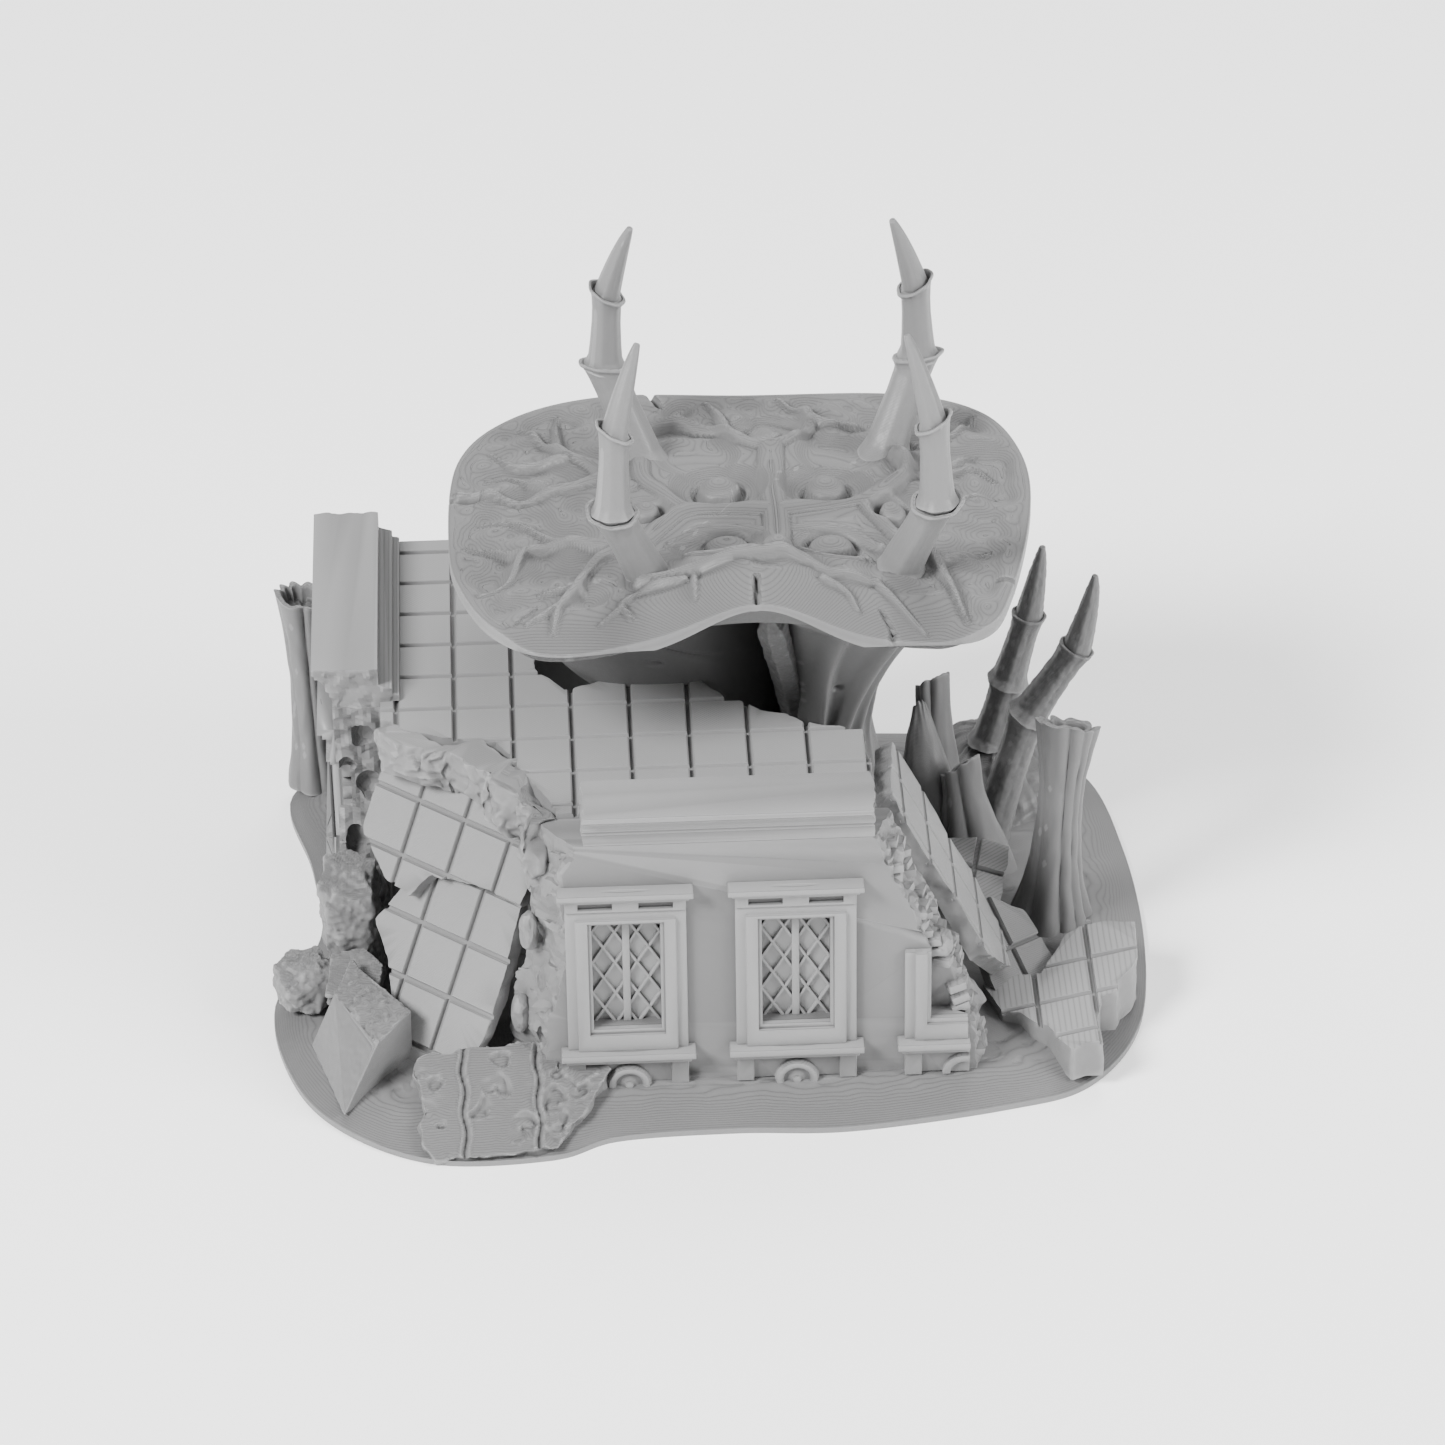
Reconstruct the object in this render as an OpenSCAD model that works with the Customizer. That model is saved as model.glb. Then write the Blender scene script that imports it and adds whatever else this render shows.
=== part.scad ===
// Ruined town house overgrown by a spiny organic growth, a printed scatter terrain piece.
// Millimetres. X runs along the front wall, Y towards the rear, Z up from the table.
// The origin is the centre of the footprint, on the underside.

/* [Base] */
// Length of the footprint along the front wall
base_length = 138; // [138:1:150]
// Depth of the footprint from front to rear
base_depth = 112; // [112:1:120]
// Height of the ground that every piece stands on
ground_z = 4; // [3:0.5:5]

/* [Building] */
// Height of the roof's walking surface above the table
roof_z = 49; // [46:0.5:54]
// Thickness of the roof slab
roof_t = 3.5; // [2.5:0.5:4]
// Height of the parapet above the roof
parapet_h = 6; // [5:0.5:8]
// Wall thickness
wall_t = 7.5; // [6:0.5:8]
// Side of one square roof tile
tile = 9; // [9:0.5:10]
// Width of the groove between tiles
groove_w = 1.1; // [0.6:0.1:1.5]
// Distance between window centres
window_pitch = 25.8; // [25:0.1:27]
// Width of a window's glazed opening
glass_w = 10.4; // [8:0.1:11]
// Height of a window's glazed opening
glass_h = 19.6; // [16:0.1:20]

/* [Growth] */
// Height of the rim of the leaf-like platform above the table
pad_z = 75; // [75:0.5:80]
// Thickness of the platform
pad_t = 2.4; // [2:0.1:3]
// Height of the platform's four spines
spine_h = 41.7; // [30:0.1:45]

/* [Hidden] */

$fn = 48;
stone = [0.60, 0.61, 0.61];
trim = [0.66, 0.67, 0.67];
rubble = [0.56, 0.57, 0.57];
growth = [0.63, 0.62, 0.64];
far = 200;

wall_top = roof_z - 1;
front_y = -41;                       // outer face of the front wall
left_x = -58;                        // outer face of the left wall
rear_y = 44.5;                       // outer face of the rear wall
front_in = front_y + wall_t;
left_in = left_x + wall_t;
roof_split = -22;                    // joint between the left and front parts of the roof
front_end = 24;                      // right end of the front strip of roof and of its parapet
cornice_out = 3;
first_window = -14;
sill_z = 10.6;                       // top of a window sill
glass_z = 14.4;                      // bottom of the glazed opening
glass_depth = 2.2;
frame_w = 18.4;
frame_z = 36.6;                      // top of the frame, under its hood
hood_w = 20.6;
relief = 1;                          // how far a window frame stands proud of the wall

// A closed smooth curve through the points p, with n steps between neighbours
function spline(p, n) = [for (i = [0:len(p) - 1], k = [0:n - 1])
    let (a = p[(i + len(p) - 1) % len(p)], b = p[i], c = p[(i + 1) % len(p)],
         d = p[(i + 2) % len(p)], t = k / n)
    0.5 * (2 * b + (c - a) * t + (2 * a - 5 * b + 4 * c - d) * t * t
           + (3 * b - a - 3 * c + d) * t * t * t)];

// Stack of rings, each a list of 3-D points, closed into one solid
module loft(rings) {
    m = len(rings[0]);
    polyhedron(points = [for (r = rings, p = r) p],
        faces = concat(
            [[for (i = [0:m - 1]) i]],
            [for (k = [0:len(rings) - 2], i = [0:m - 1]) let (j = (i + 1) % m)
                [k * m + i, (k + 1) * m + i, (k + 1) * m + j]],
            [for (k = [0:len(rings) - 2], i = [0:m - 1]) let (j = (i + 1) % m)
                [k * m + i, (k + 1) * m + j, k * m + j]],
            [[for (i = [m - 1:-1:0]) (len(rings) - 1) * m + i]]));
}

// Whatever the children hold above the ground
module above_ground() {
    difference() {
        children();
        translate([-far, -far, ground_z - 2 * far]) cube(2 * far);
    }
}

// ---- Ground ----

base_outline = spline([[-69, -15], [-66, -34], [-58, -47], [-44, -55.6], [-26, -55.6], [-16, -51.5],
    [2, -50.5], [20, -51], [44, -47], [57, -42], [66, -28], [69, -6], [68, 20], [63, 42], [48, 53],
    [20, 56], [-20, 56], [-52, 54], [-67, 43], [-63.5, 22], [-62, 3]], 5);
rim_flare = 0.975;                   // size of the plate's top edge against its foot

module base_foot(s, z, h) {
    translate([0, 0, z]) linear_extrude(h)
        polygon([for (p = base_outline) [p[0] * s * base_length / 138, p[1] * s * base_depth / 112]]);
}

module base_plate() {
    color(stone) {
        base_foot(1, 0, 1.4);
        base_foot((1 + rim_flare) / 2, 1.4, 1.2);
        base_foot(rim_flare, 2.6, ground_z - 2.6);
    }
}

mound_at = [48, 36];
mound_r = 13;
mound_h = 11;

module root_mound() {
    color(growth) translate([mound_at[0], mound_at[1], ground_z])
        loft([for (t = [0:0.125:1]) let (r = mound_r * (1 - 0.72 * pow(t, 2.2)))
            [for (a = [0:10:350]) [r * (1 + 0.06 * cos(3 * a)) * cos(a),
                                   r * (1.1 + 0.05 * sin(5 * a)) * sin(a), mound_h * t]]]);
}

// ---- Walls ----

module wall_panel(points) {           // outline in width and height, standing on its outer face
    rotate([90, 0, 0]) linear_extrude(wall_t) polygon(points);
}

module front_wall() {
    color(stone) difference() {
        translate([0, front_in, 0])
            wall_panel([[-26, ground_z], [39, ground_z], [38, 12], [34.5, 22], [31.5, 28], [28, 36],
                        [25, 44], [front_end, wall_top], [-21, wall_top], [-23, 38], [-22, 27], [-25, 15]]);
        for (i = [0, 1]) window_recess(first_window + i * window_pitch);
        translate([first_window + 2 * window_pitch - glass_w / 2, front_y - 1, glass_z])
            cube([far, 1 + glass_depth, far]);
    }
}

module window_recess(x) {
    translate([x - glass_w / 2, front_y - 1, glass_z]) cube([glass_w, 1 + glass_depth, glass_h]);
}

side_window_y = [28.4, 7];
rear_window_x = [-39.8, -14];

module left_wall() {
    color(stone) difference() {
        translate([left_x, 0, 0]) rotate([90, 0, 90]) linear_extrude(wall_t)
            polygon([[0, ground_z], [rear_y, ground_z], [rear_y, wall_top], [-2, wall_top], [1, 41],
                     [3, 30], [-1, 22], [-3, 12]]);
        for (y = side_window_y)
            translate([left_x - 1, y - glass_w / 2, glass_z]) cube([1 + glass_depth, glass_w, glass_h]);
    }
}

module rear_wall() {
    color(stone) difference() {
        translate([0, rear_y, 0])
            wall_panel([[left_in, ground_z], [16, ground_z], [14, 14], [9, 22], [11, 33], [4, 39],
                        [2, roof_z - roof_t], [left_in, roof_z - roof_t]]);
        for (x = rear_window_x)
            translate([x - glass_w / 2, rear_y - glass_depth, glass_z]) cube([glass_w, far, glass_h]);
    }
}

// ---- Roof ----

module tiled(outline) {
    color(trim) difference() {
        translate([0, 0, roof_z - roof_t]) linear_extrude(roof_t) polygon(outline);
        for (i = [-7:1:8]) {
            translate([-39 + tile * i - groove_w / 2, -far / 2, roof_z - 0.6]) cube([groove_w, far, 1]);
            translate([-far / 2, -4 + tile * i - groove_w / 2, roof_z - 0.6]) cube([far, groove_w, 1]);
        }
    }
}

module roof_left() {
    tiled([[left_in, rear_y], [-26, rear_y], [-26.5, 30], [-28, 18], [-26.5, 6], [roof_split, 0],
           [roof_split, front_in], [-24, front_in], [-26, -28], [-30, -19], [-32.5, -14], [-41, -12],
           [-48, -9], [left_in, -6]]);
}

module roof_front() {
    tiled([[roof_split, front_in], [front_end, front_in], [front_end, -13], [17, -12], [12, -8.5],
           [5, -4.5], [-1, 2], [-10, 4.5], [-18, 1.5], [roof_split, 0]]);
}

module roof_rear() {
    tiled([[-26, rear_y], [-26, 36.5], [-12, 37], [-3, 39], [5, 38.5], [3, rear_y]]);
}

// Parapet section: out is measured from the wall's outer face, up from the wall's top
parapet_profile = [[0, 0], [0, 0.7], [-0.7, 0.9], [-1, 1.6], [-1.6, 2.4], [-2.3, 3], [-2.3, 3.5],
    [-cornice_out, 3.7], [-cornice_out, parapet_h + 1], [wall_t - 0.2, parapet_h + 1],
    [wall_t - 0.2, 4], [wall_t + 1.9, 3.4], [wall_t + 1.9, 2.4], [wall_t + 3, 2], [wall_t + 3, 1],
    [wall_t, 1], [wall_t, 0]];

module left_parapet() {
    color(trim) translate([left_x, rear_y, wall_top]) rotate([90, 0, 0])
        linear_extrude(rear_y + 2) polygon(parapet_profile);
}

module front_parapet() {
    color(trim) translate([-20.5, front_y, wall_top]) rotate([90, 0, 90])
        linear_extrude(front_end + 20.5) polygon(parapet_profile);
}

// ---- Windows: drawn on the plane y = 0, standing out towards -y, centred on x = 0 ----

module on_front(i) { translate([first_window + i * window_pitch, front_y, 0]) children(); }
module on_left(y) { translate([left_x, y, 0]) rotate([0, 0, -90]) children(); }
module on_rear(x) { translate([x, rear_y, 0]) rotate([0, 0, 180]) children(); }
module slab_xz(x0, x1, z0, z1, out, back = 0) {
    translate([x0, -out, z0]) cube([x1 - x0, out + back, z1 - z0]);
}

module frame_ring() {
    difference() {
        slab_xz(-frame_w / 2, frame_w / 2, sill_z, frame_z, relief);
        slab_xz(-glass_w / 2, glass_w / 2, glass_z, glass_z + glass_h, 2 * relief, 1);
    }
    difference() {
        slab_xz(-frame_w / 2 + 1.6, frame_w / 2 - 1.6, sill_z, frame_z - 1.4, relief + 0.6);
        slab_xz(-glass_w / 2 - 0.6, glass_w / 2 + 0.6, glass_z - 0.8, glass_z + glass_h + 0.6,
            3 * relief, 1);
        slab_xz(-far / 2, far / 2, 0, far, relief, 1);
    }
}

module head() {
    difference() {
        slab_xz(-frame_w / 2, frame_w / 2, frame_z, frame_z + 2.2, 1.4);
        for (s = [-1, 1]) slab_xz(s * 4.6 - 2.6, s * 4.6 + 2.6, frame_z + 0.5, frame_z + 1.6, 3, -0.7);
    }
    slab_xz(-frame_w / 2 - 0.5, frame_w / 2 + 0.5, frame_z + 2.2, frame_z + 3, 2);
    slab_xz(-hood_w / 2, hood_w / 2, frame_z + 3, frame_z + 4, 2.8);
}

module lattice() {
    bar = 0.9;
    inside = glass_depth;
    intersection() {
        translate([-glass_w / 2, 0.4, glass_z]) cube([glass_w, inside - 0.4, glass_h]);
        union() {
            for (s = [-1, 1], k = [0:7])
                translate([s * 2.6, 0, glass_z + (k - 2) * glass_h / 3])
                    for (lean = [-1, 1]) rotate([0, lean * 52, 0])
                        translate([-bar / 2, 0.8, -12]) cube([bar, inside - 0.8, 24]);
            for (x = [-glass_w / 2, -bar * 0.7, glass_w / 2 - bar])
                translate([x, 0, glass_z]) cube([bar * 1.4, inside, glass_h]);
            for (z = [glass_z, glass_z + glass_h - bar])
                translate([-glass_w / 2, 0, z]) cube([glass_w, inside, bar]);
        }
    }
}

module sill() {
    slab_xz(-hood_w / 2, hood_w / 2, sill_z - 1.2, sill_z, 2.8);
    slab_xz(-frame_w / 2 - 0.4, frame_w / 2 + 0.4, sill_z - 2.2, sill_z - 1.2, 2);
    slab_xz(-frame_w / 2, frame_w / 2, ground_z, sill_z - 2.2, 0.7);
    for (s = [-1, 1]) slab_xz(s * 7.9 - 1.3, s * 7.9 + 1.3, ground_z, sill_z - 2.2, 1.5);
    intersection() {
        slab_xz(-4, 4, ground_z, sill_z - 2.2, 1.6);
        translate([0, 0, ground_z]) rotate([90, 0, 0]) difference() {
            cylinder(r = 3.4, h = 1.6);
            translate([0, 0, 1]) cylinder(r = 2.2, h = 3);
        }
    }
}

module window_head_1() { color(trim) on_front(0) head(); }
module window_head_2() { color(trim) on_front(1) head(); }
module window_frame_1() { color(trim) on_front(0) frame_ring(); }
module window_frame_2() { color(trim) on_front(1) frame_ring(); }

// The third window keeps only its left jamb and the foot of its frame
module window_frame_3() {
    color(trim) on_front(2) difference() {
        frame_ring();
        translate([-5.2, -5, glass_z]) cube([far, 10, far]);
        translate([0.5, -5, 0]) cube([far, 10, far]);
        translate([-far, -5, 27]) cube([2 * far, 10, far]);
    }
}

module window_lattice_1() { color(trim) on_front(0) lattice(); }
module window_lattice_2() { color(trim) on_front(1) lattice(); }
module window_sill_1() { color(trim) on_front(0) sill(); }
module window_sill_2() { color(trim) on_front(1) sill(); }

module window_sill_3() {
    color(trim) on_front(2) difference() {
        sill();
        translate([0.8, -5, 0]) cube([far, 10, far]);
    }
}

module whole_window() {
    frame_ring();
    head();
    lattice();
    sill();
}

module side_window_1() { color(trim) on_left(side_window_y[0]) whole_window(); }

// The second side window has lost the half that stood on the broken end of the wall
module side_window_2() {
    color(trim) on_left(side_window_y[1]) difference() {
        whole_window();
        translate([3.5, -5, 0]) cube([far, 10, far]);
    }
}

module rear_window_1() { color(trim) on_rear(rear_window_x[0]) whole_window(); }
module rear_window_2() { color(trim) on_rear(rear_window_x[1]) whole_window(); }

// ---- Fallen roof ----

// A piece of roof: outline in its own plane, tile grooves on its top face at z = 0
module tile_slab(outline, t, grid = [0, 0]) {
    difference() {
        translate([0, 0, -t]) linear_extrude(t) polygon(outline);
        for (i = [-4:4]) {
            translate([grid[0] + tile * i - groove_w / 2, -far / 2, -0.6]) cube([groove_w, far, 2]);
            translate([-far / 2, grid[1] + tile * i - groove_w / 2, -0.6]) cube([far, groove_w, 2]);
        }
    }
}

module tilted(at, lean, heading) { translate(at) rotate([lean, 0, heading]) children(); }

corner_at = [-39, -24, 30];
corner_lean = 57.9;
corner_heading = -39.85;
slab_t = 2.5;

module corner_slab_upper() {
    color(trim) tilted(corner_at, corner_lean, corner_heading)
        tile_slab([[-20, 12], [-15, 17], [-13, 13.5], [-9, 13.5], [-4, 16], [0, 13], [7, 14], [11, 14.5],
                   [12.5, 8], [11.5, 0.5], [5, 1], [-1, 0], [-5.5, -0.5], [-8, -5], [-13, -4],
                   [-20, 1], [-21, 7]], slab_t, [-2.8, 9.2]);
}

module corner_slab_lower() {
    color(trim) difference() {
        above_ground() tilted(corner_at, corner_lean, corner_heading) translate([0, 0, -slab_t])
            tile_slab([[-12, -6], [-8, 4], [9, 5], [10.5, -2], [11.3, -9], [11.5, -18.4], [10.2, -30],
                       [-3, -30], [-6.8, -21.4], [-10, -16], [-14.4, -11]], slab_t, [2.9, 0.3]);
        wedge_block();
        carved_block();
    }
}

module roof_strip() {                 // hangs from the broken end of the roof down to the ground
    color(trim) above_ground() translate([27, -20, roof_z - 1]) rotate([0, 63.4, 0])
        tile_slab([[0, -8], [3, 8], [12, 9], [22, 7], [31, 8], [38, 5], [41, 6], [43, -3], [41, -5],
                   [33, -11], [22, -9.5], [10, -12], [3, -11]], 3, [4.5, 0]);
}

module fallen_slab_rear() {
    color(trim) above_ground() translate([42, 1, 13]) rotate([14, 16, -8])
        tile_slab([[-6, -3], [-4, 3.5], [0, 5], [5.5, 5], [5.5, -6], [0, -8]], 2.5, [0.5, -1]);
}

module fallen_slab_middle() {
    color(trim) difference() {
        above_ground() tilted([46, -16.5, 11], 42, 32)
            tile_slab([[-6, -8], [-5, 2], [0, 7], [5, 2.5], [6, -8], [2, -12]], 2.5, [0, -2]);
        fallen_slab_front();
        roof_strip();
    }
}

module fallen_slab_front() {          // a thick wedge lying on the ground, rising to the right
    color(trim) difference() {
        translate([0, 0, ground_z]) linear_extrude(12)
            polygon([[42, -22], [44.5, -30], [49, -34.5], [54, -43.5], [59, -42.5], [59.5, -32],
                     [63, -28], [66, -23], [66.5, -14.5], [59, -11], [55.5, -14], [50.8, -22.5]]);
        translate([40, -26, 5.2]) rotate([0, -13, 0]) {
            translate([-far / 2, -far / 2, 0]) cube(far);
            for (x = [9.5, 18.5, 27.5]) translate([x, -far / 2, -0.6]) cube([groove_w, far, 2]);
            for (y = [-13.5, -4.5, 4.5]) translate([-far / 2, y, -0.6]) cube([far, groove_w, 2]);
        }
    }
}

// ---- Rubble ----

module rock(size, turn) {             // a rough convex stone standing on the ground
    above_ground() translate([0, 0, ground_z + size[2] * 0.42]) rotate([0, 0, turn]) hull() {
        rotate([14, -9, 0]) cube([size[0], size[1] * 0.7, size[2] * 0.8], center = true);
        rotate([-11, 12, 38]) cube([size[0] * 0.62, size[1] * 0.8, size[2]], center = true);
    }
}

module carved_block() {
    color(rubble) above_ground() translate([-33, -46.4, 3]) rotate([24, 0, 2])
        difference() {
            linear_extrude(8)
                polygon([[-13.5, -6], [-9, -7], [7, -6.5], [12.5, -2], [11, 2], [7.5, 5], [-10, 7], [-13, 4]]);
            for (x = [-9, 0.5]) translate([x, -far / 2, 7.2]) cube([0.8, far, 2]);
            for (x = [-9, 0.5]) translate([x, -far / 2, -1]) cube([0.8, far / 2 - 5.8, 12]);
        }
}

module wedge_block() {
    color(rubble) above_ground() tilted([-55, -33, 6], 32, -38)
        linear_extrude(9, center = true) polygon([[-8, -7], [7, -8], [8, 6], [-6, 7.5]]);
}

module rim_rock() { color(rubble) translate([-64, -17.5, 0]) rock([8, 9, 8], 20); }
module wall_stump() { color(rubble) translate([-56.2, -10.5, 0]) rock([7.5, 8.5, 22], 10); }
module leaning_chunk() {
    color(rubble) difference() {
        above_ground() tilted([-56, -20.5, 10], 34, -12)
            linear_extrude(4, center = true) polygon([[-4, -4], [4, -5], [4.5, 2], [1, 4.5], [-4, 3]]);
        wedge_block();
        wall_stump();
        rim_rock();
    }
}

// ---- Growth standing on the ground ----

// A ribbed stalk: radius r at each height of the list, with n flutes
module fluted(steps, n, lean = [0, 0]) {
    top = steps[len(steps) - 1][0];
    loft([for (s = steps) [for (a = [0:7.5:352.5])
        let (r = s[1] * (1 + 0.09 * cos(n * a)), t = s[0] / top)
        [r * cos(a) + lean[0] * t, r * sin(a) + lean[1] * t, s[0]]]]);
}

module fluted_pillar() {
    color(growth) translate([55, -2, ground_z])
        fluted([[0, 5], [5, 4.2], [14, 3.6], [24, 3.6], [32, 4.2], [39, 5.2]], 8, [2, 0]);
}

module shell_tall() {
    color(growth) translate([37, 18, ground_z])
        fluted([[0, 3.4], [10, 3.3], [20, 3.2], [26, 3.7], [31, 4.4]], 7, [0.5, 4]);
}

module shell_low() {
    color(growth) translate([43, 12, ground_z])
        fluted([[0, 3.7], [8, 3.4], [14, 3.3], [19, 3.8]], 7, [-2, 1]);
}

module rear_stump() {
    color(growth) translate([-63, 43.5, ground_z])
        fluted([[0, 4], [8, 3.2], [20, 2.8], [30, 3.4], [36, 4]], 7, [-0.6, 0]);
}

module rod(p, q, r0, r1) {
    d = q - p;
    translate(p) rotate([0, acos(d[2] / norm(d)), atan2(d[1], d[0])])
        cylinder(h = norm(d), r1 = r0, r2 = r1);
}

// Ring of radius r about the point c, square to the direction d
function ring(c, d, r) = let (e = cross([0, 1, 0], d) / norm(cross([0, 1, 0], d)), f = cross(d, e) / norm(d))
    [for (a = [0:22.5:337.5]) c + r * (e * cos(a) + f * sin(a))];

flare = 0.82;                         // where a collar starts to widen

// One spine: straight shafts with flared collars, then a claw, through the points p
module spine(p, r) {
    bend = p[2] + (p[3] - p[2]) * 0.5 + (p[2] - p[1]) * 0.12;
    function shaft(i) = let (d = p[i + 1] - p[i])
        [ring(p[i], i == 0 ? [0, 0, 1] : d, r[i]), ring(p[i] + d * flare, d, r[i] * 0.86),
         ring(p[i + 1], d, r[i] * 1.08)];
    function claw(t) = let (c = (1 - t) * (1 - t) * p[2] + 2 * t * (1 - t) * bend + t * t * p[3])
        ring(c, (1 - t) * (bend - p[2]) + t * (p[3] - bend), r[2] * (1 - t) + 0.5 * t);
    loft(concat(shaft(0), shaft(1), [for (t = [0:0.2:1]) claw(t)]));
}

module ground_spine_rear() {
    color(growth) spine([[47.4, 33.5, mound_h + ground_z], [50, 33.5, 25.4], [53.2, 33, 38.4],
        [55.2, 33, 51.4]], [2.5, 2.2, 1.9]);
}

module ground_spine_front() {
    color(growth)
        spine([[45.5, 19.5, ground_z], [52, 19.5, 28], [59.6, 19, 41], [62.3, 19, 54.7]], [2.7, 2.5, 2.1]);
}

// ---- The lift-out growth ----

// The trunk's plan is the outer edge of two ovals that both hold the axis
trunk_axis = [12, 12];
// Height, then centre and half widths of the main oval, then of the fold at its right
trunk_rings = [
    [0, [3, 17], [17, 11], [20, 8], [9, 9]],
    [0.22, [3, 17], [17, 11], [20, 8], [9, 9]],
    [0.5, [2, 19], [21, 12], [21, 6], [9.5, 12]],
    [0.63, [1, 20], [23.5, 13], [21, 4.5], [10.5, 14]],
    [0.75, [2, 17.5], [28, 16.5], [22, 3], [13, 16]],
    [0.86, [3.5, 13], [34, 22], [23, 2], [17, 19]],
    [0.95, [5, 10], [40, 29], [24, 1], [21, 22]],
    [1, [6, 10], [40, 29], [24, 1], [20, 21]]];

// Distance from the axis to an oval's edge in the direction a
function reach(c, h, a) = let (o = trunk_axis - c, dx = cos(a) / h[0], dy = sin(a) / h[1],
    ox = o[0] / h[0], oy = o[1] / h[1], k = dx * dx + dy * dy, b = ox * dx + oy * dy,
    disc = b * b - k * (ox * ox + oy * oy - 1))
    disc > 0 ? (-b + sqrt(disc)) / k : 0;

// One stretch of the trunk, from one ring of the list to another
module trunk_between(from, to) {
    height = pad_z - pad_t - ground_z;
    color(growth) difference() {
        loft([for (k = [from:to]) let (s = trunk_rings[k]) [for (a = [0:6:354])
            let (r = max(reach(s[1], s[2], a), reach(s[3], s[4], a)))
            [trunk_axis[0] + r * cos(a), trunk_axis[1] + r * sin(a), ground_z + s[0] * height]]]);
        rod(prong_foot, prong_tip + 0.07 * (prong_tip - prong_foot), prong_r + socket_gap,
            prong_r + socket_gap);
    }
}

module trunk() trunk_between(0, 3);
module trunk_neck() trunk_between(3, 5);
module trunk_flare() trunk_between(5, 7);

prong_foot = [13.5, 4, 40];
prong_tip = [7.5, -11, 62.5];
prong_r = 2.3;
socket_gap = 0.06;                    // room for the prong all round

module prong() {                      // a blunt horn, plugged into the trunk in front of its hollow
    color(growth) {
        rod(prong_foot, prong_tip, prong_r, prong_r);
        rod(prong_tip, prong_tip + 0.05 * (prong_tip - prong_foot), prong_r, 0.8);
    }
}

pad_outline = spline([[-39, 2], [-37, -11], [-32, -21.5], [-24, -26.5], [-10, -25.5], [6, -26],
    [28, -26.5], [41, -25.5], [46.5, -14], [51, 9], [50.5, 25], [45, 37], [32, 43], [8, 44],
    [-14, 45], [-29, 39], [-37.5, 26]], 4);
pad_at = [6, 8];
brow = 5.5;                           // how far the front lip rises at its middle

// Rise of the front lip at the point p
function lift(p) = brow * exp(-pow((p[0] - 7.5) / 13, 2)) * max(0, min(1, (-p[1] - 15) / 9));

module pad() {
    rings = [0.3, 0.5, 0.65, 0.78, 0.88, 0.95, 1];
    function at(s, p) = pad_at + (p - pad_at) * s;
    function lower(s, p) = concat(at(s, p), pad_z - pad_t + lift(at(s, p)) * (s > 0.85 ? 1 : 0));
    function upper(s, p) = concat(at(s, p), pad_z + lift(at(s, p)) - (s == 1 ? 1 : 0));
    color(growth) loft(concat(
        [for (s = rings) [for (p = pad_outline) lower(s, p)]],
        [for (k = [len(rings) - 1:-1:0]) [for (p = pad_outline) upper(rings[k], p)]]));
}

// Raised ridges on the platform, each from one point to another
ridges = [[[11.5, 25], [11.5, 4]], [[11.5, 4], [11, -12]], [[11.5, 6], [-3, 7]], [[-3, 7], [-9.5, 0]],
    [[-3, 8], [-9, 16]], [[11.5, 6], [25, 8.5]], [[25, 8.5], [33, 16]], [[24.5, 8.5], [26.5, 1.5]],
    [[11.5, 25], [4, 31.5]], [[4, 31.5], [-6.5, 34]], [[11.5, 25], [18.5, 33.5]], [[18.5, 33.5], [25.5, 32.5]],
    [[-14, 18], [-20.5, 25]], [[-20.5, 25], [-27.5, 34.5]], [[-15, 17.5], [-28, 12.5]], [[-28, 12.5], [-37, 16]],
    [[-15, -2.5], [-27.5, -3]], [[-27.5, -3], [-34.5, -12.5]], [[-12.5, -3.5], [-20, -13.5]],
    [[36, -7.5], [37.3, -13.6]], [[37.5, 7.5], [45.5, 10.5]], [[38.5, 18], [46, 16]], [[40, 28], [44, 35]]];

module pad_ridges() {
    color(growth) for (r = ridges) hull() {
        translate(concat(r[0], pad_z)) cylinder(h = 1.6, r1 = 2.2, r2 = 0.9, $fn = 14);
        translate(concat(r[1], pad_z)) cylinder(h = 1, r1 = 1.4, r2 = 0.5, $fn = 14);
    }
}

domes = [[3, 13.5, 2.8], [19.5, 12.8, 2.8], [-8.5, 7, 1.9], [29.5, 5.5, 1.9], [3.5, -2.5, 3.2],
    [19.5, -3.5, 3.2], [11, 31, 2]];

module pad_domes() {
    color(growth) for (d = domes) translate([d[0], d[1], pad_z]) cylinder(h = 1.4, r1 = d[2], r2 = d[2] * 0.6);
}

spine_mid = [10.4, 7.7];
// Half spacings of the spines at foot, first collar, second collar and tip
spine_spread = [[18.8, 17], [24.4, 21.5], [23.8, 20.5], [20, 17.2]];
spine_share = [0, 0.357, 0.68, 1];    // height of each, as a share of the whole

module pad_spine(sx, sy) {
    color(growth) spine([for (i = [0:3]) [spine_mid[0] + sx * spine_spread[i][0],
        spine_mid[1] + sy * spine_spread[i][1], pad_z + spine_share[i] * spine_h]], [3.9, 2.7, 2.2]);
}

module pad_spine_1() { pad_spine(-1, -1); }
module pad_spine_2() { pad_spine(1, -1); }
module pad_spine_3() { pad_spine(1, 1); }
module pad_spine_4() { pad_spine(-1, 1); }

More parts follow.
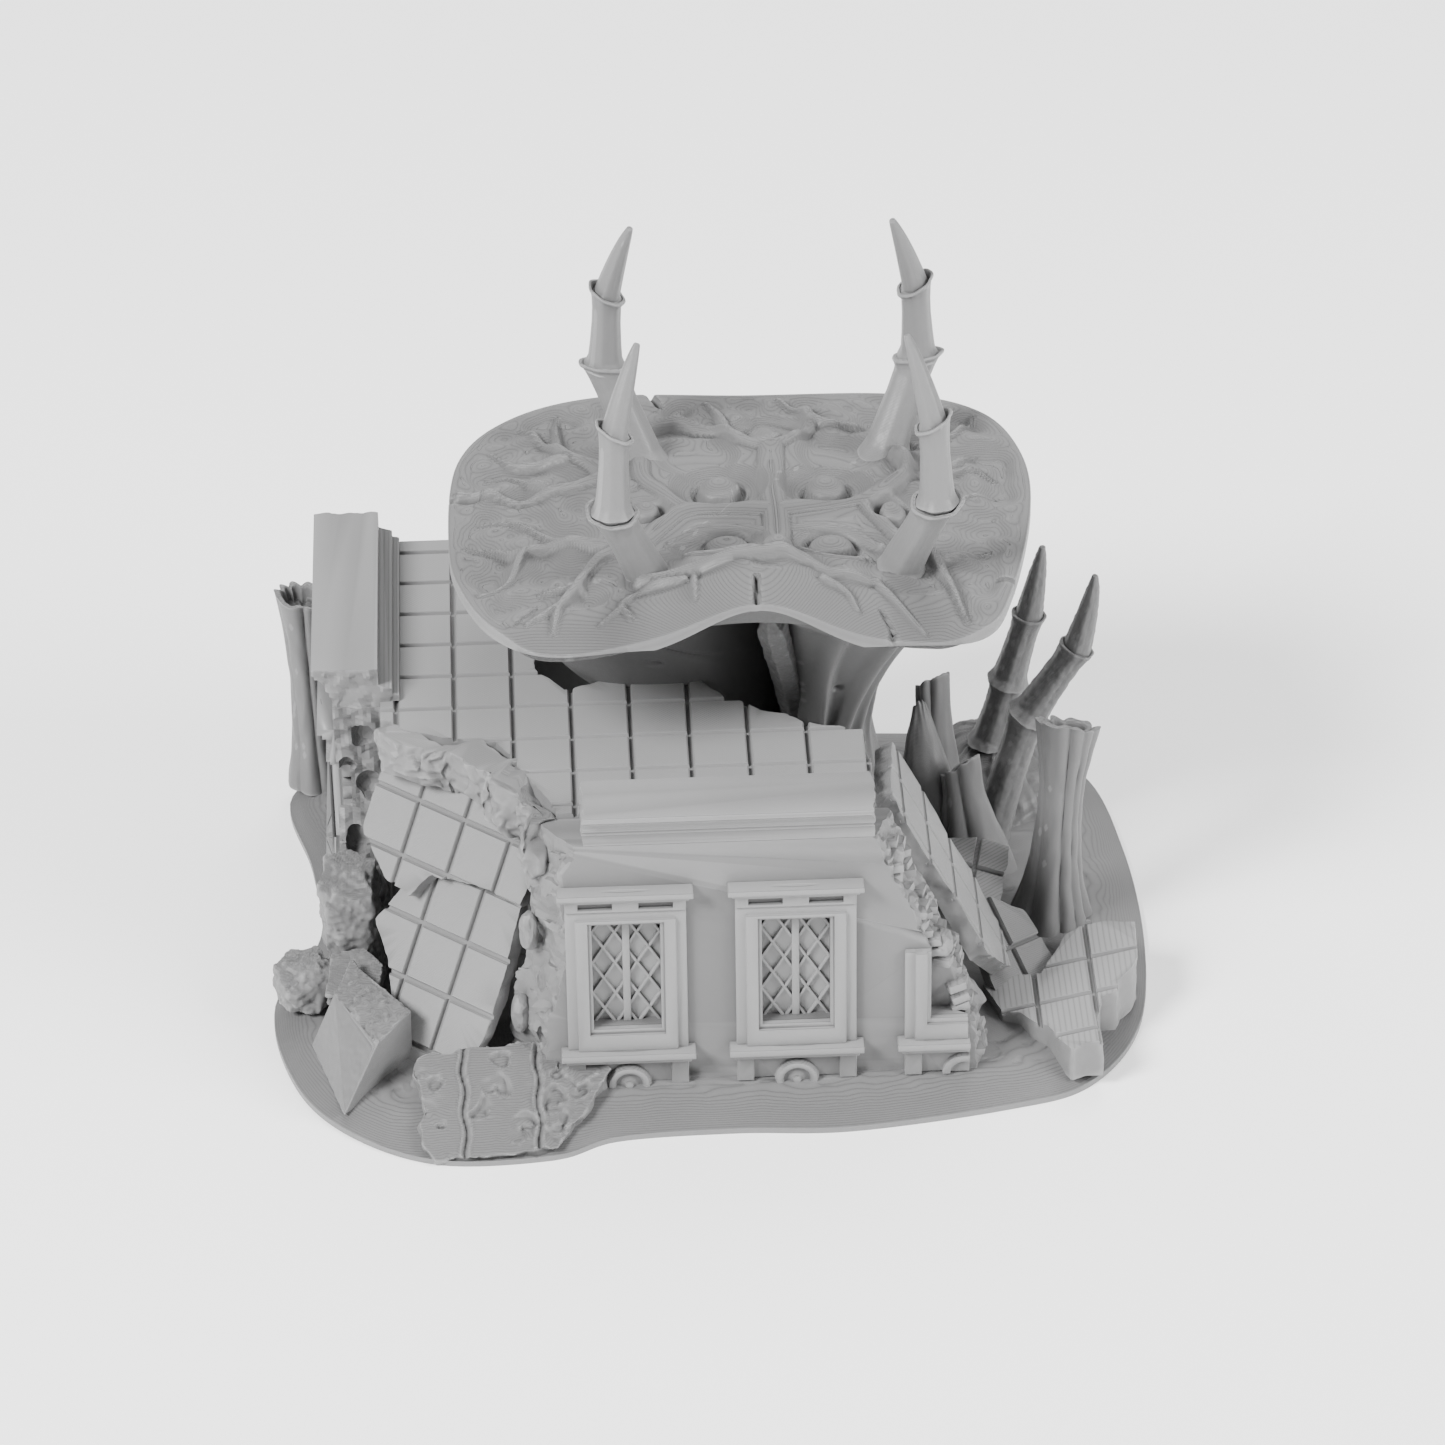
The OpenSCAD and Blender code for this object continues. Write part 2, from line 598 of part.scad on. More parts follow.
base_plate();
root_mound();
front_wall();
left_wall();
rear_wall();
roof_left();
roof_front();
roof_rear();
left_parapet();
front_parapet();
window_head_1();
window_head_2();
window_frame_1();
window_frame_2();
window_frame_3();
window_lattice_1();
window_lattice_2();
window_sill_1();
window_sill_2();
window_sill_3();
side_window_1();
side_window_2();
rear_window_1();
rear_window_2();
corner_slab_upper();
corner_slab_lower();
roof_strip();
fallen_slab_rear();
fallen_slab_middle();
fallen_slab_front();
carved_block();
wedge_block();
rim_rock();
wall_stump();
leaning_chunk();
fluted_pillar();
shell_tall();
shell_low();
rear_stump();
ground_spine_rear();
ground_spine_front();
trunk();
trunk_neck();
trunk_flare();
prong();
pad();
pad_ridges();
pad_domes();
pad_spine_1();
pad_spine_2();
pad_spine_3();
pad_spine_4();
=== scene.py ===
# Miniature terrain ruin: a broken town house burst open by a horned growth, printed in grey plastic.
# Pieces are shaped in millimetres and turned into metres as they are finished.
import math
import random

import bmesh
import bpy
import numpy as np
from mathutils import Matrix, Vector, noise


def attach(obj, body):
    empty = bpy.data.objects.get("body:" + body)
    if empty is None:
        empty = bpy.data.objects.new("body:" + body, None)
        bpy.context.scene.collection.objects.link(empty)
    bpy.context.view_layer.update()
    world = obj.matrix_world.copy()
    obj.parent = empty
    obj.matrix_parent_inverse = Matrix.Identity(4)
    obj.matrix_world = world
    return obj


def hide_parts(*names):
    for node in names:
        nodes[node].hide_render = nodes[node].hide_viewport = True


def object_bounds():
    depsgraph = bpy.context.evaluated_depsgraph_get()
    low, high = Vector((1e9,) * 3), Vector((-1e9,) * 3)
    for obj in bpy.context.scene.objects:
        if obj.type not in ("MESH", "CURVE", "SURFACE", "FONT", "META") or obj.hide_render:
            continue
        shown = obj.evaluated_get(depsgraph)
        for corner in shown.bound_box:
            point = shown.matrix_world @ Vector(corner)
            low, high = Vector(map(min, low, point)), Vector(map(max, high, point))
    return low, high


noise.seed_set(5)                              # the same noise on every run
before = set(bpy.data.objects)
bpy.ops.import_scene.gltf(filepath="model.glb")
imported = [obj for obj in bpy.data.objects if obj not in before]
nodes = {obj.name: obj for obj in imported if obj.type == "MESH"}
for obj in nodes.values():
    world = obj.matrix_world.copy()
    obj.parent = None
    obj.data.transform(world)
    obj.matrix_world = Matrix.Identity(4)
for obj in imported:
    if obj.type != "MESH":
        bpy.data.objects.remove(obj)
cadBox = [list(corner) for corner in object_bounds()]
mm = 0.001
print("frame loaded:", len(nodes), "nodes")


def addNode(tree, kind, feeds=None, **settings):
    node = tree.nodes.new(kind)
    for key, value in settings.items():
        setattr(node, key, value)
    for socket, source in (feeds or {}).items():
        if isinstance(source, bpy.types.NodeSocket):
            tree.links.new(source, node.inputs[socket])
        else:
            node.inputs[socket].default_value = source
    return node


def maths(tree, operation, a, b=0.0):
    return addNode(tree, "ShaderNodeMath", {0: a, 1: b}, operation=operation).outputs[0]


def ramped(tree, value, low, high):            # 0 below low, 1 above high, eased between
    return addNode(tree, "ShaderNodeMapRange", {"Value": value, "From Min": low, "From Max": high},
                   interpolation_type="SMOOTHSTEP").outputs[0]


def newGroup(name, given, made):
    tree = bpy.data.node_groups.new(name, "ShaderNodeTree")
    for label, kind, value in given:
        tree.interface.new_socket(name=label, in_out="INPUT", socket_type=kind).default_value = value
    for label, kind in made:
        tree.interface.new_socket(name=label, in_out="OUTPUT", socket_type=kind)
    return tree, tree.nodes.new("NodeGroupInput").outputs, tree.nodes.new("NodeGroupOutput").inputs


# layer steps on walls and slopes, 45 degree strands on flat tops, and painted shade along the steps of
# shallow slopes
def makePrintLines():
    tree, given, made = newGroup("printLines", [
        ("Layer", "NodeSocketFloat", 0.0002), ("Strand", "NodeSocketFloat", 0.0004),
        ("Wall Depth", "NodeSocketFloat", 0.15), ("Slope Depth", "NodeSocketFloat", 1.3),
        ("Strand Depth", "NodeSocketFloat", 0.00002)],
        [("Height", "NodeSocketFloat"), ("Shade", "NodeSocketFloat")])
    place = addNode(tree, "ShaderNodeTexCoord").outputs
    at = addNode(tree, "ShaderNodeSeparateXYZ", {0: place["Object"]}).outputs
    up = addNode(tree, "ShaderNodeSeparateXYZ", {0: place["Normal"]}).outputs[2]
    drift = addNode(tree, "ShaderNodeTexNoise", {"Vector": place["Object"], "Scale": 45.0}).outputs[0]
    height = maths(tree, "ADD", at[2], maths(tree, "MULTIPLY", drift, 0.0001))
    phase = maths(tree, "FRACT", maths(tree, "DIVIDE", height, given["Layer"]))
    seam = maths(tree, "ABSOLUTE", maths(tree, "SUBTRACT", maths(tree, "MULTIPLY", phase, 2.0), 1.0))
    groove = maths(tree, "MULTIPLY", maths(tree, "POWER", seam, 5.0), given["Wall Depth"])
    step = maths(tree, "MULTIPLY", maths(tree, "SUBTRACT", 1.0, phase), given["Slope Depth"])
    slope = ramped(tree, up, 0.3, 0.85)
    flat = ramped(tree, up, 0.9975, 0.9995)
    lines = maths(tree, "SUBTRACT", maths(tree, "MULTIPLY", step, slope),
                  maths(tree, "MULTIPLY", groove, maths(tree, "SUBTRACT", 1.0, slope)))
    lines = maths(tree, "MULTIPLY", maths(tree, "MULTIPLY", lines, given["Layer"]),
                  maths(tree, "SUBTRACT", 1.0, flat))
    across = maths(tree, "DIVIDE", maths(tree, "MULTIPLY", maths(tree, "ADD", at[0], at[1]), 0.7071),
                   given["Strand"])
    bead = maths(tree, "SUBTRACT", maths(tree, "MULTIPLY", maths(tree, "FRACT", across), 2.0), 1.0)
    strand = maths(tree, "MULTIPLY", maths(tree, "MULTIPLY", bead, bead), given["Strand Depth"])
    out = maths(tree, "SUBTRACT", lines, maths(tree, "MULTIPLY", strand, flat))
    tree.links.new(out, made["Height"])
    stepShadeMask = maths(tree, "MULTIPLY", maths(tree, "MULTIPLY", ramped(tree, up, 0.6, 0.9),
                                            maths(tree, "SUBTRACT", 1.0, flat)), 0.30)
    shade = maths(tree, "SUBTRACT", 1.0, maths(tree, "MULTIPLY", maths(tree, "POWER", seam, 3.0), stepShadeMask))
    tree.links.new(shade, made["Shade"])           # painted shade along each step of a shallow slope
    return tree


def makeGrain():                               # fine pits and soft waves of the plastic's skin
    tree, given, made = newGroup("grain", [
        ("Scale", "NodeSocketFloat", 900.0), ("Depth", "NodeSocketFloat", 0.00002)],
        [("Height", "NodeSocketFloat")])
    place = addNode(tree, "ShaderNodeTexCoord").outputs["Object"]
    fine = addNode(tree, "ShaderNodeTexNoise",
                   {"Vector": place, "Scale": given["Scale"], "Detail": 3.0}).outputs[0]
    wide = addNode(tree, "ShaderNodeTexNoise", {"Vector": place, "Scale": 160.0, "Detail": 1.0}).outputs[0]
    both = maths(tree, "ADD", fine, maths(tree, "MULTIPLY", wide, 1.5))
    tree.links.new(maths(tree, "MULTIPLY", both, given["Depth"]), made["Height"])
    return tree


def makeTone():                                # uneven grey, painted highlight on edges and painted shade in creases, duller and shinier patches
    tree, given, made = newGroup("tone", [
        ("Color", "NodeSocketColor", (0.4, 0.4, 0.4, 1)), ("Variation", "NodeSocketFloat", 0.06),
        ("Edge", "NodeSocketFloat", 0.1), ("Roughness", "NodeSocketFloat", 0.5),
        ("Shade", "NodeSocketFloat", 1.0)],
        [("Color", "NodeSocketColor"), ("Roughness", "NodeSocketFloat")])
    place = addNode(tree, "ShaderNodeTexCoord").outputs["Object"]
    cloud = addNode(tree, "ShaderNodeTexNoise", {"Vector": place, "Scale": 70.0, "Detail": 4.0}).outputs[0]
    speck = addNode(tree, "ShaderNodeTexNoise", {"Vector": place, "Scale": 1800.0, "Detail": 1.0}).outputs[0]
    mixed = maths(tree, "ADD", maths(tree, "SUBTRACT", cloud, 0.5),
                  maths(tree, "MULTIPLY", maths(tree, "SUBTRACT", speck, 0.5), 0.8))
    bend = addNode(tree, "ShaderNodeNewGeometry").outputs["Pointiness"]
    # painted highlight on sharp outer edges and painted shade in inner creases, taken from pointiness
    edge = maths(tree, "SUBTRACT", ramped(tree, bend, 0.503, 0.57), ramped(tree, bend, 0.497, 0.42))
    bright = maths(tree, "ADD", maths(tree, "ADD", 1.0, maths(tree, "MULTIPLY", mixed, given["Variation"])),
                   maths(tree, "MULTIPLY", edge, given["Edge"]))
    # the painted shade along print steps darkens the colour here
    bright = maths(tree, "MULTIPLY", bright, given["Shade"])
    colour = addNode(tree, "ShaderNodeVectorMath", {0: given["Color"], 3: bright},
                     operation="SCALE").outputs[0]
    tree.links.new(colour, made["Color"])
    tree.links.new(maths(tree, "ADD", given["Roughness"], maths(tree, "MULTIPLY", mixed, 0.25)),
                   made["Roughness"])
    return tree


printLines, grain, tone = makePrintLines(), makeGrain(), makeTone()

plastics = {                                   # grey level, roughness, painted edge highlight and crease shade, grain depth, strand depth
    "wallPlastic": (0.148, 0.50, 0.30, 0.000012, 0.000012),
    "trimPlastic": (0.152, 0.46, 0.40, 0.000008, 0.000012),
    "tilePlastic": (0.150, 0.47, 0.35, 0.000010, 0.000022),
    "rubblePlastic": (0.145, 0.54, 0.40, 0.000030, 0.000022),
    "groundPlastic": (0.142, 0.52, 0.20, 0.000018, 0.000025),
    "growthPlastic": (0.112, 0.48, 0.50, 0.000012, 0.000012),
    "hornPlastic": (0.15, 0.46, 0.35, 0.000014, 0.000012),
    "clawPlastic": (0.115, 0.58, 0.30, 0.000050, 0.000012),
}


def makePlastic(name, grey, rough, edge, grainDepth, strandDepth):
    material = bpy.data.materials.new(name)
    material.use_nodes = True
    tree = material.node_tree
    shader = tree.nodes["Principled BSDF"]
    shader.inputs["Specular IOR Level"].default_value = 0.45
    shader.inputs["Sheen Weight"].default_value = 0.04
    look = addNode(tree, "ShaderNodeGroup", node_tree=tone)
    look.inputs["Color"].default_value = (grey, grey, grey * 1.004, 1)
    look.inputs["Variation"].default_value = 0.09
    # strength of the painted edge highlight and crease shade
    look.inputs["Edge"].default_value = edge
    look.inputs["Roughness"].default_value = rough
    lines = addNode(tree, "ShaderNodeGroup", node_tree=printLines)
    lines.inputs["Strand Depth"].default_value = strandDepth
    # painted shade along print steps, carried from the print lines into the colour
    tree.links.new(lines.outputs["Shade"], look.inputs["Shade"])
    skin = addNode(tree, "ShaderNodeGroup", node_tree=grain)
    skin.inputs["Depth"].default_value = grainDepth
    height = maths(tree, "ADD", lines.outputs[0], skin.outputs[0])
    bump = addNode(tree, "ShaderNodeBump", {"Height": height, "Strength": 1.0, "Distance": 1.0})
    tree.links.new(look.outputs["Color"], shader.inputs["Base Color"])
    tree.links.new(look.outputs["Roughness"], shader.inputs["Roughness"])
    tree.links.new(bump.outputs[0], shader.inputs["Normal"])
    return material


finishes = {name: makePlastic(name, *values) for name, values in plastics.items()}
print("finishes made")


# Shaping tools

def finishPiece(name, bm, material, body, replaced=(), sharp=38):
    bmesh.ops.scale(bm, vec=(mm, mm, mm), verts=bm.verts)
    mesh = bpy.data.meshes.new(name)
    bm.to_mesh(mesh)
    bm.free()
    spots = np.empty(len(mesh.vertices) * 3, np.float32)       # nothing reaches beyond the solid model
    mesh.vertices.foreach_get("co", spots)
    mesh.vertices.foreach_set("co", np.clip(spots.reshape(-1, 3), *np.float32(cadBox)).ravel())
    mesh.materials.append(finishes[material])
    mesh.polygons.foreach_set("use_smooth", [True] * len(mesh.polygons))
    mesh.set_sharp_from_angle(angle=math.radians(sharp))
    piece = bpy.data.objects.new(name, mesh)
    bpy.context.scene.collection.objects.link(piece)
    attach(piece, body)
    if replaced:
        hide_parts(*replaced)
    print("  ", name, len(mesh.polygons), "faces")
    return piece


def vertsOf(grown):                            # the new vertices of an extrusion
    return [g for g in grown["geom"] if isinstance(g, bmesh.types.BMVert)]


def closeHoles(bm):
    bmesh.ops.holes_fill(bm, edges=[e for e in bm.edges if e.is_boundary], sides=0)


def cutOff(bm, spot, way, **side):             # cut by a plane, one side cleared and the cut closed
    bmesh.ops.bisect_plane(bm, geom=bm.verts[:] + bm.edges[:] + bm.faces[:], plane_co=spot, plane_no=way,
                           **side)
    closeHoles(bm)
    return bm


def keepAbove(bm, z):
    return cutOff(bm, (0, 0, z), (0, 0, 1), clear_inner=True)


def placed(at, turn=(0, 0, 0), drop=0.0):      # dropped, then turned about x, y and z in degrees, then moved
    carry = Matrix.Translation(at)
    for axis, angle in zip("ZYX", reversed(turn)):
        carry = carry @ Matrix.Rotation(math.radians(angle), 4, axis)
    return carry @ Matrix.Translation((0, 0, drop))


def pieceName(node):                           # wall_stump becomes wallStump
    first, *rest = node.split("_")
    return first + "".join(word.capitalize() for word in rest)


def smoothStep(x, low, high):
    t = np.clip((x - low) / (high - low), 0, 1)
    return t * t * (3 - 2 * t)


def closedCurve(points, steps):                # a closed smooth curve through the points
    p = np.array(points, float)
    a, c, d = np.roll(p, 1, 0), np.roll(p, -1, 0), np.roll(p, -2, 0)
    t = (np.arange(steps) / steps)[None, :, None]
    a, b, c, d = a[:, None], p[:, None], c[:, None], d[:, None]
    curve = 0.5 * (2 * b + (c - a) * t + (2 * a - 5 * b + 4 * c - d) * t ** 2
                   + (3 * b - a - 3 * c + d) * t ** 3)
    return curve.reshape(-1, 2)


def lengthsAlong(points):                      # from the first point to each of them
    return np.concatenate([[0], np.cumsum(np.linalg.norm(np.diff(points, axis=0), axis=1))])


def walk(points):                              # place on a closed outline at a share 0..1, and its length
    p = np.vstack([points, points[:1]]).astype(float)
    run = lengthsAlong(p)
    return lambda u: np.column_stack([np.interp(u * run[-1], run, p[:, k]) for k in (0, 1)]), run[-1]


def noiseAt(spots, size, seed=0.0):
    shift = Vector((seed, seed * 1.7, -seed))
    return np.array([noise.noise_vector(Vector(s) / size + shift) for s in spots])


def rolledGrid(across, along, place):          # a grid carried to place(u, v), its seam and poles merged
    bm = bmesh.new()
    bmesh.ops.create_grid(bm, x_segments=across, y_segments=along, size=0.5)
    uv = np.array([v.co[:2] for v in bm.verts]) + 0.5
    for v, spot in zip(bm.verts, place(uv[:, 0], uv[:, 1]).tolist()):
        v.co = spot
    bmesh.ops.remove_doubles(bm, verts=bm.verts, dist=0.0005)
    closeHoles(bm)
    bmesh.ops.recalc_face_normals(bm, faces=bm.faces)
    return bm


def roughPrism(outline, low, high, rough, seed=0.0, size=3.2, slant=(0.0, 0.0), step=0.75):
    at, length = walk(outline)
    middle = np.mean(outline, axis=0)

    def place(u, v):
        flat = at(u)
        spots = np.column_stack([flat, low + (high - low) * v])
        push = noiseAt(spots, size, seed) + 0.4 * noiseAt(spots, size * 0.35, seed + 9)
        spots[:, :2] += rough * push[:, :2]
        spots[:, 0] += v * np.where(spots[:, 0] < middle[0], -slant[0], slant[1])
        return spots
    return rolledGrid(int(length / step), max(4, int((high - low) / step)), place)


def boxBetween(low, high):
    bm = bmesh.new()
    bmesh.ops.create_cube(bm, size=1)
    bmesh.ops.scale(bm, vec=[b - a for a, b in zip(low, high)], verts=bm.verts)
    bmesh.ops.translate(bm, vec=[(a + b) / 2 for a, b in zip(low, high)], verts=bm.verts)
    return bm


def evaluated(bm, kind, tool=None, **settings):        # the shape after one modifier
    made = []
    for part in filter(None, (bm, tool)):
        mesh = bpy.data.meshes.new("working")
        part.to_mesh(mesh)
        part.free()
        made.append(bpy.data.objects.new("working", mesh))
        bpy.context.scene.collection.objects.link(made[-1])
    modifier = made[0].modifiers.new("working", kind)
    for key, value in settings.items():
        setattr(modifier, key, value)
    if tool:
        modifier.object = made[1]
    shaped = made[0].evaluated_get(bpy.context.evaluated_depsgraph_get())
    out = bmesh.new()
    out.from_mesh(shaped.to_mesh())
    shaped.to_mesh_clear()
    for helper in made:
        mesh = helper.data
        bpy.data.objects.remove(helper)
        bpy.data.meshes.remove(mesh)
    return out


def carve(bm, tool, operation="INTERSECT"):    # a cut that leaves nothing is tried another way, then left out
    for solver in ("EXACT", "FAST"):
        cut = evaluated(bm.copy(), "BOOLEAN", tool.copy(), operation=operation, solver=solver)
        if cut.faces:
            break
        cut = bm
    tool.free()
    if cut is not bm:
        bm.free()
    return cut


def remeshed(bm, voxel):
    return evaluated(bm, "REMESH", mode="VOXEL", voxel_size=voxel)


def joined(parts):
    bm = bmesh.new()
    for part in parts:
        mesh = bpy.data.meshes.new("working")
        part.to_mesh(mesh)
        part.free()
        bm.from_mesh(mesh)
        bpy.data.meshes.remove(mesh)
    return bm


def copyOf(*names):                            # CAD nodes as clean faces, in millimetres
    bm = bmesh.new()
    for name in names:
        bm.from_mesh(nodes[name].data)
    bmesh.ops.scale(bm, vec=(1000, 1000, 1000), verts=bm.verts)
    bmesh.ops.remove_doubles(bm, verts=bm.verts, dist=0.002)
    bmesh.ops.dissolve_limit(bm, angle_limit=math.radians(1), verts=bm.verts, edges=bm.edges)
    return bm


def easeEdges(bm, width, segments=2, above=30):
    edges = [e for e in bm.edges if len(e.link_faces) == 2 and e.calc_face_angle() > math.radians(above)]
    bmesh.ops.bevel(bm, geom=edges, offset=width, offset_type="OFFSET", segments=segments, profile=0.5,
                    affect="EDGES", clamp_overlap=True, material=-1)
    return bm


def weather(bm, depth, size, seed=0.0, fine=0.4):      # push the skin in and out along its normals
    bm.normal_update()
    spots = np.array([v.co for v in bm.verts])
    push = noiseAt(spots, size, seed)[:, 0] + fine * noiseAt(spots, size * 0.3, seed + 5)[:, 1]
    for v, p in zip(bm.verts, (depth * push).tolist()):
        v.co += v.normal * p
    return bm


def scoopedOut(bm, places, seed=0.0):          # hollows knocked out of a broken face
    for k, (spot, radii) in enumerate(places):
        tool = bmesh.new()
        bmesh.ops.create_icosphere(tool, subdivisions=3, radius=1)
        bmesh.ops.scale(tool, vec=radii, verts=tool.verts)
        bmesh.ops.translate(tool, vec=spot, verts=tool.verts)
        before = bm.copy()
        bm = carve(bm, weather(tool, 0.35, 1.5, seed + k), "DIFFERENCE")
        if len(bm.faces) < 0.7 * len(before.faces):        # a cut that failed is left out
            bm, before = before, bm
        before.free()
    return bm


# Ground

ground = {
    "outline": [[-69, -15], [-66, -34], [-58, -47], [-44, -55.6], [-26, -55.6], [-16, -51.5], [2, -50.5],
                [20, -51], [44, -47], [57, -42], [66, -28], [69, -6], [68, 20], [63, 42], [48, 53], [20, 56],
                [-20, 56], [-52, 54], [-67, 43], [-63.5, 22], [-62, 3]],
    "height": 4.0, "rim": 1.0, "fade": 3.6, "waves": 0.35, "hollow": (-32, -52.5, 15, 6, 1.9),
}


def makeGround():
    at = walk(closedCurve(ground["outline"], 8))[0]

    def place(u, v):
        edge = at(u)
        reach = np.linalg.norm(edge, axis=1)
        share = np.interp(v, [0, 0.05, 0.08, 0.6, 1], [0, 1, 1, 0.82, 0])
        inset = (1 - share) * reach
        swell = 1 - np.exp(-(inset / ground["fade"]) ** 1.25)
        top = ground["rim"] + (ground["height"] + 0.05 - ground["rim"]) * swell
        spots = np.column_stack([edge * share[:, None], np.where(v < 0.06, 0.0, top)])
        wave = noiseAt(spots, 9, 3)[:, 2] + 0.4 * noiseAt(spots, 3, 4)[:, 2]
        spots[:, 2] += np.where(v < 0.08, 0, ground["waves"] * wave * smoothStep(inset, 0, 3))
        cx, cy, rx, ry, deep = ground["hollow"]
        dent = np.exp(-((spots[:, 0] - cx) / rx) ** 4 - ((spots[:, 1] - cy) / ry) ** 4)
        spots[:, 2] -= deep * dent * (v > 0.08)
        spots[:, 2] = np.maximum(spots[:, 2], 0)
        return spots
    finishPiece("ground", rolledGrid(420, 70, place), "groundPlastic", "ruin", ["base_plate"])


makeGround()


# Tiled sheets

tiles = {"pitch": 9.0, "floor": 0.42, "depth": 0.8, "wall": 0.12, "bevel": 0.26, "bevelDepth": 0.18}


def tiledSheet(x0, y0, columns, rows, thick):  # top at z 0, grooves at x0, x0 + pitch and so on
    bm = bmesh.new()
    bmesh.ops.create_grid(bm, x_segments=columns, y_segments=rows, size=0.5)
    pitch, depth, bevelDepth = tiles["pitch"], tiles["depth"], tiles["bevelDepth"]
    for v in bm.verts:
        v.co = (x0 + (v.co.x + 0.5) * columns * pitch, y0 + (v.co.y + 0.5) * rows * pitch, -depth)
    faces = bm.faces[:]
    bmesh.ops.inset_individual(bm, faces=faces, thickness=tiles["floor"], depth=0)
    bmesh.ops.inset_individual(bm, faces=faces, thickness=tiles["wall"], depth=depth - bevelDepth)
    bmesh.ops.inset_individual(bm, faces=faces, thickness=tiles["bevel"], depth=bevelDepth)
    rim = [e for e in bm.edges if e.is_boundary]
    grown = bmesh.ops.extrude_edge_only(bm, edges=rim)
    bmesh.ops.translate(bm, vec=(0, 0, depth - thick), verts=vertsOf(grown))
    closeHoles(bm)
    bmesh.ops.recalc_face_normals(bm, faces=bm.faces)
    return bm


roof = {
    "outline": [[-52, 46], [-52, -5], [-50.5, -6], [-48, -9], [-41, -12], [-32.5, -14], [-30, -19],
                [-26, -28],
                [-24, -33], [-24, -36], [24.3, -36], [24.3, -24], [23.6, -13.4], [20, -12.6], [17, -12],
                [14.5, -11.4],
                [12, -8.5], [8.5, -7.6], [5, -4.5], [3, -4.2], [-1, 2], [-6, 2.4], [-10, 4.5], [-14, 3.8],
                [-18, 1.5], [-22, 0],
                [-24, 3], [-26.5, 6], [-27, 13], [-28, 18], [-26.5, 30], [-26, 36.5], [-12, 37], [-3, 39],
                [5, 38.5], [3, 46]],
    "top": 49.0, "thick": 3.5, "x0": -57, "y0": -40, "back": 44.5, "front": -33.6,
}


def makeRoof():
    sheet = tiledSheet(roof["x0"], roof["y0"], 10, 10, roof["thick"])
    sheet = carve(sheet, boxBetween((-50.5, roof["front"], -9), (60, roof["back"], 9)))
    sheet = carve(sheet, roughPrism(roof["outline"], -5, 2, 0.55, 2.0, size=3.4))
    bmesh.ops.translate(sheet, vec=(0, 0, roof["top"]), verts=sheet.verts)
    finishPiece("tiledRoof", sheet, "tilePlastic", "ruin", ["roof_left", "roof_front", "roof_rear"])


makeRoof()

slabs = {                                      # grid: where one groove of each direction runs
    "cornerSlabUpper": dict(node="corner_slab_upper", at=(-39, -24, 30), turn=(57.9, 0, -39.85), thick=2.5,
                            grid=(-2.8, 9.2), rough=0.5, seed=11,
                            outline=[[-20, 12], [-15, 17], [-13, 13.5], [-9, 13.5], [-4, 16], [0, 13],
                                     [7, 14], [11, 14.5],
                                     [12.5, 8], [11.5, 0.5], [5, 1], [-1, 0], [-5.5, -0.5], [-8, -5],
                                     [-13, -4],
                                     [-20, 1], [-21, 7]]),
    "cornerSlabLower": dict(node="corner_slab_lower", at=(-39, -24, 30), turn=(57.9, 0, -39.85), drop=-2.5,
                            thick=2.5,
                            grid=(2.9, 0.3), rough=0.45, seed=12,
                            outline=[[-12, -6], [-8, 4], [9, 5], [10.5, -2], [11.3, -9], [11.5, -18.4],
                                     [10.2, -30],
                                     [-3, -30], [-6.8, -21.4], [-10, -16], [-14.4, -11]]),
    "fallenSlabRear": dict(node="fallen_slab_rear", at=(42, 1, 13), grid=(0.5, -1), thick=2.5, rough=0.35,
                           seed=13,
                           turn=(14, 16, -8),
                           outline=[[-6, -3], [-4, 3.5], [0, 5], [5.5, 5], [5.5, -6], [0, -8]]),
    "fallenSlabMiddle": dict(node="fallen_slab_middle", at=(46, -16.5, 11), turn=(42, 0, 32), thick=2.5,
                             grid=(0, -2), rough=0.3, seed=14,
                             outline=[[-6, -8], [-5, 2], [0, 7], [5, 2.5], [6, -8], [2, -12]]),
    "roofStrip": dict(node="roof_strip", at=(27, -20, 48), grid=(4.5, 0), thick=3, rough=0.5, seed=15,
                      turn=(0, 63.4, 0),
                      outline=[[0, -8], [3, 8], [12, 9], [22, 7], [31, 8], [38, 5], [41, 6], [43, -3],
                               [41, -5],
                               [33, -11], [22, -9.5], [10, -12], [3, -11]]),
}


def makeSlab(name, slab):
    pitch = tiles["pitch"]
    x0, y0 = slab["grid"][0] - 5 * pitch, slab["grid"][1] - 5 * pitch
    sheet = tiledSheet(x0, y0, 11, 10, slab["thick"])
    sheet = carve(sheet, roughPrism(slab["outline"], -slab["thick"] - 1, 1.5, slab["rough"], slab["seed"],
                                    step=0.6))
    carry = placed(slab["at"], slab["turn"], slab.get("drop", 0))
    bmesh.ops.transform(sheet, matrix=carry, verts=sheet.verts)
    finishPiece(name, keepAbove(sheet, 2.5), "tilePlastic", "ruin", [slab["node"]])


for slabName, slabValues in slabs.items():
    makeSlab(slabName, slabValues)

wedgeSlab = {
    "at": (40, -26, 5.2), "rise": 13.0, "grid": (10.05, -12.95),
    "outline": [[42, -22], [44.5, -30], [47, -31], [49, -34.5], [51, -36], [54, -43.5], [56.5, -42.4],
                [59, -42.5], [58.8, -36],
                [59.5, -32], [62, -31], [63, -28], [65, -26], [66, -23], [66.5, -14.5], [63, -13], [59, -11],
                [57.5, -13], [55.5, -14],
                [53, -18.6], [50.8, -22.5], [47, -21.4]],
}


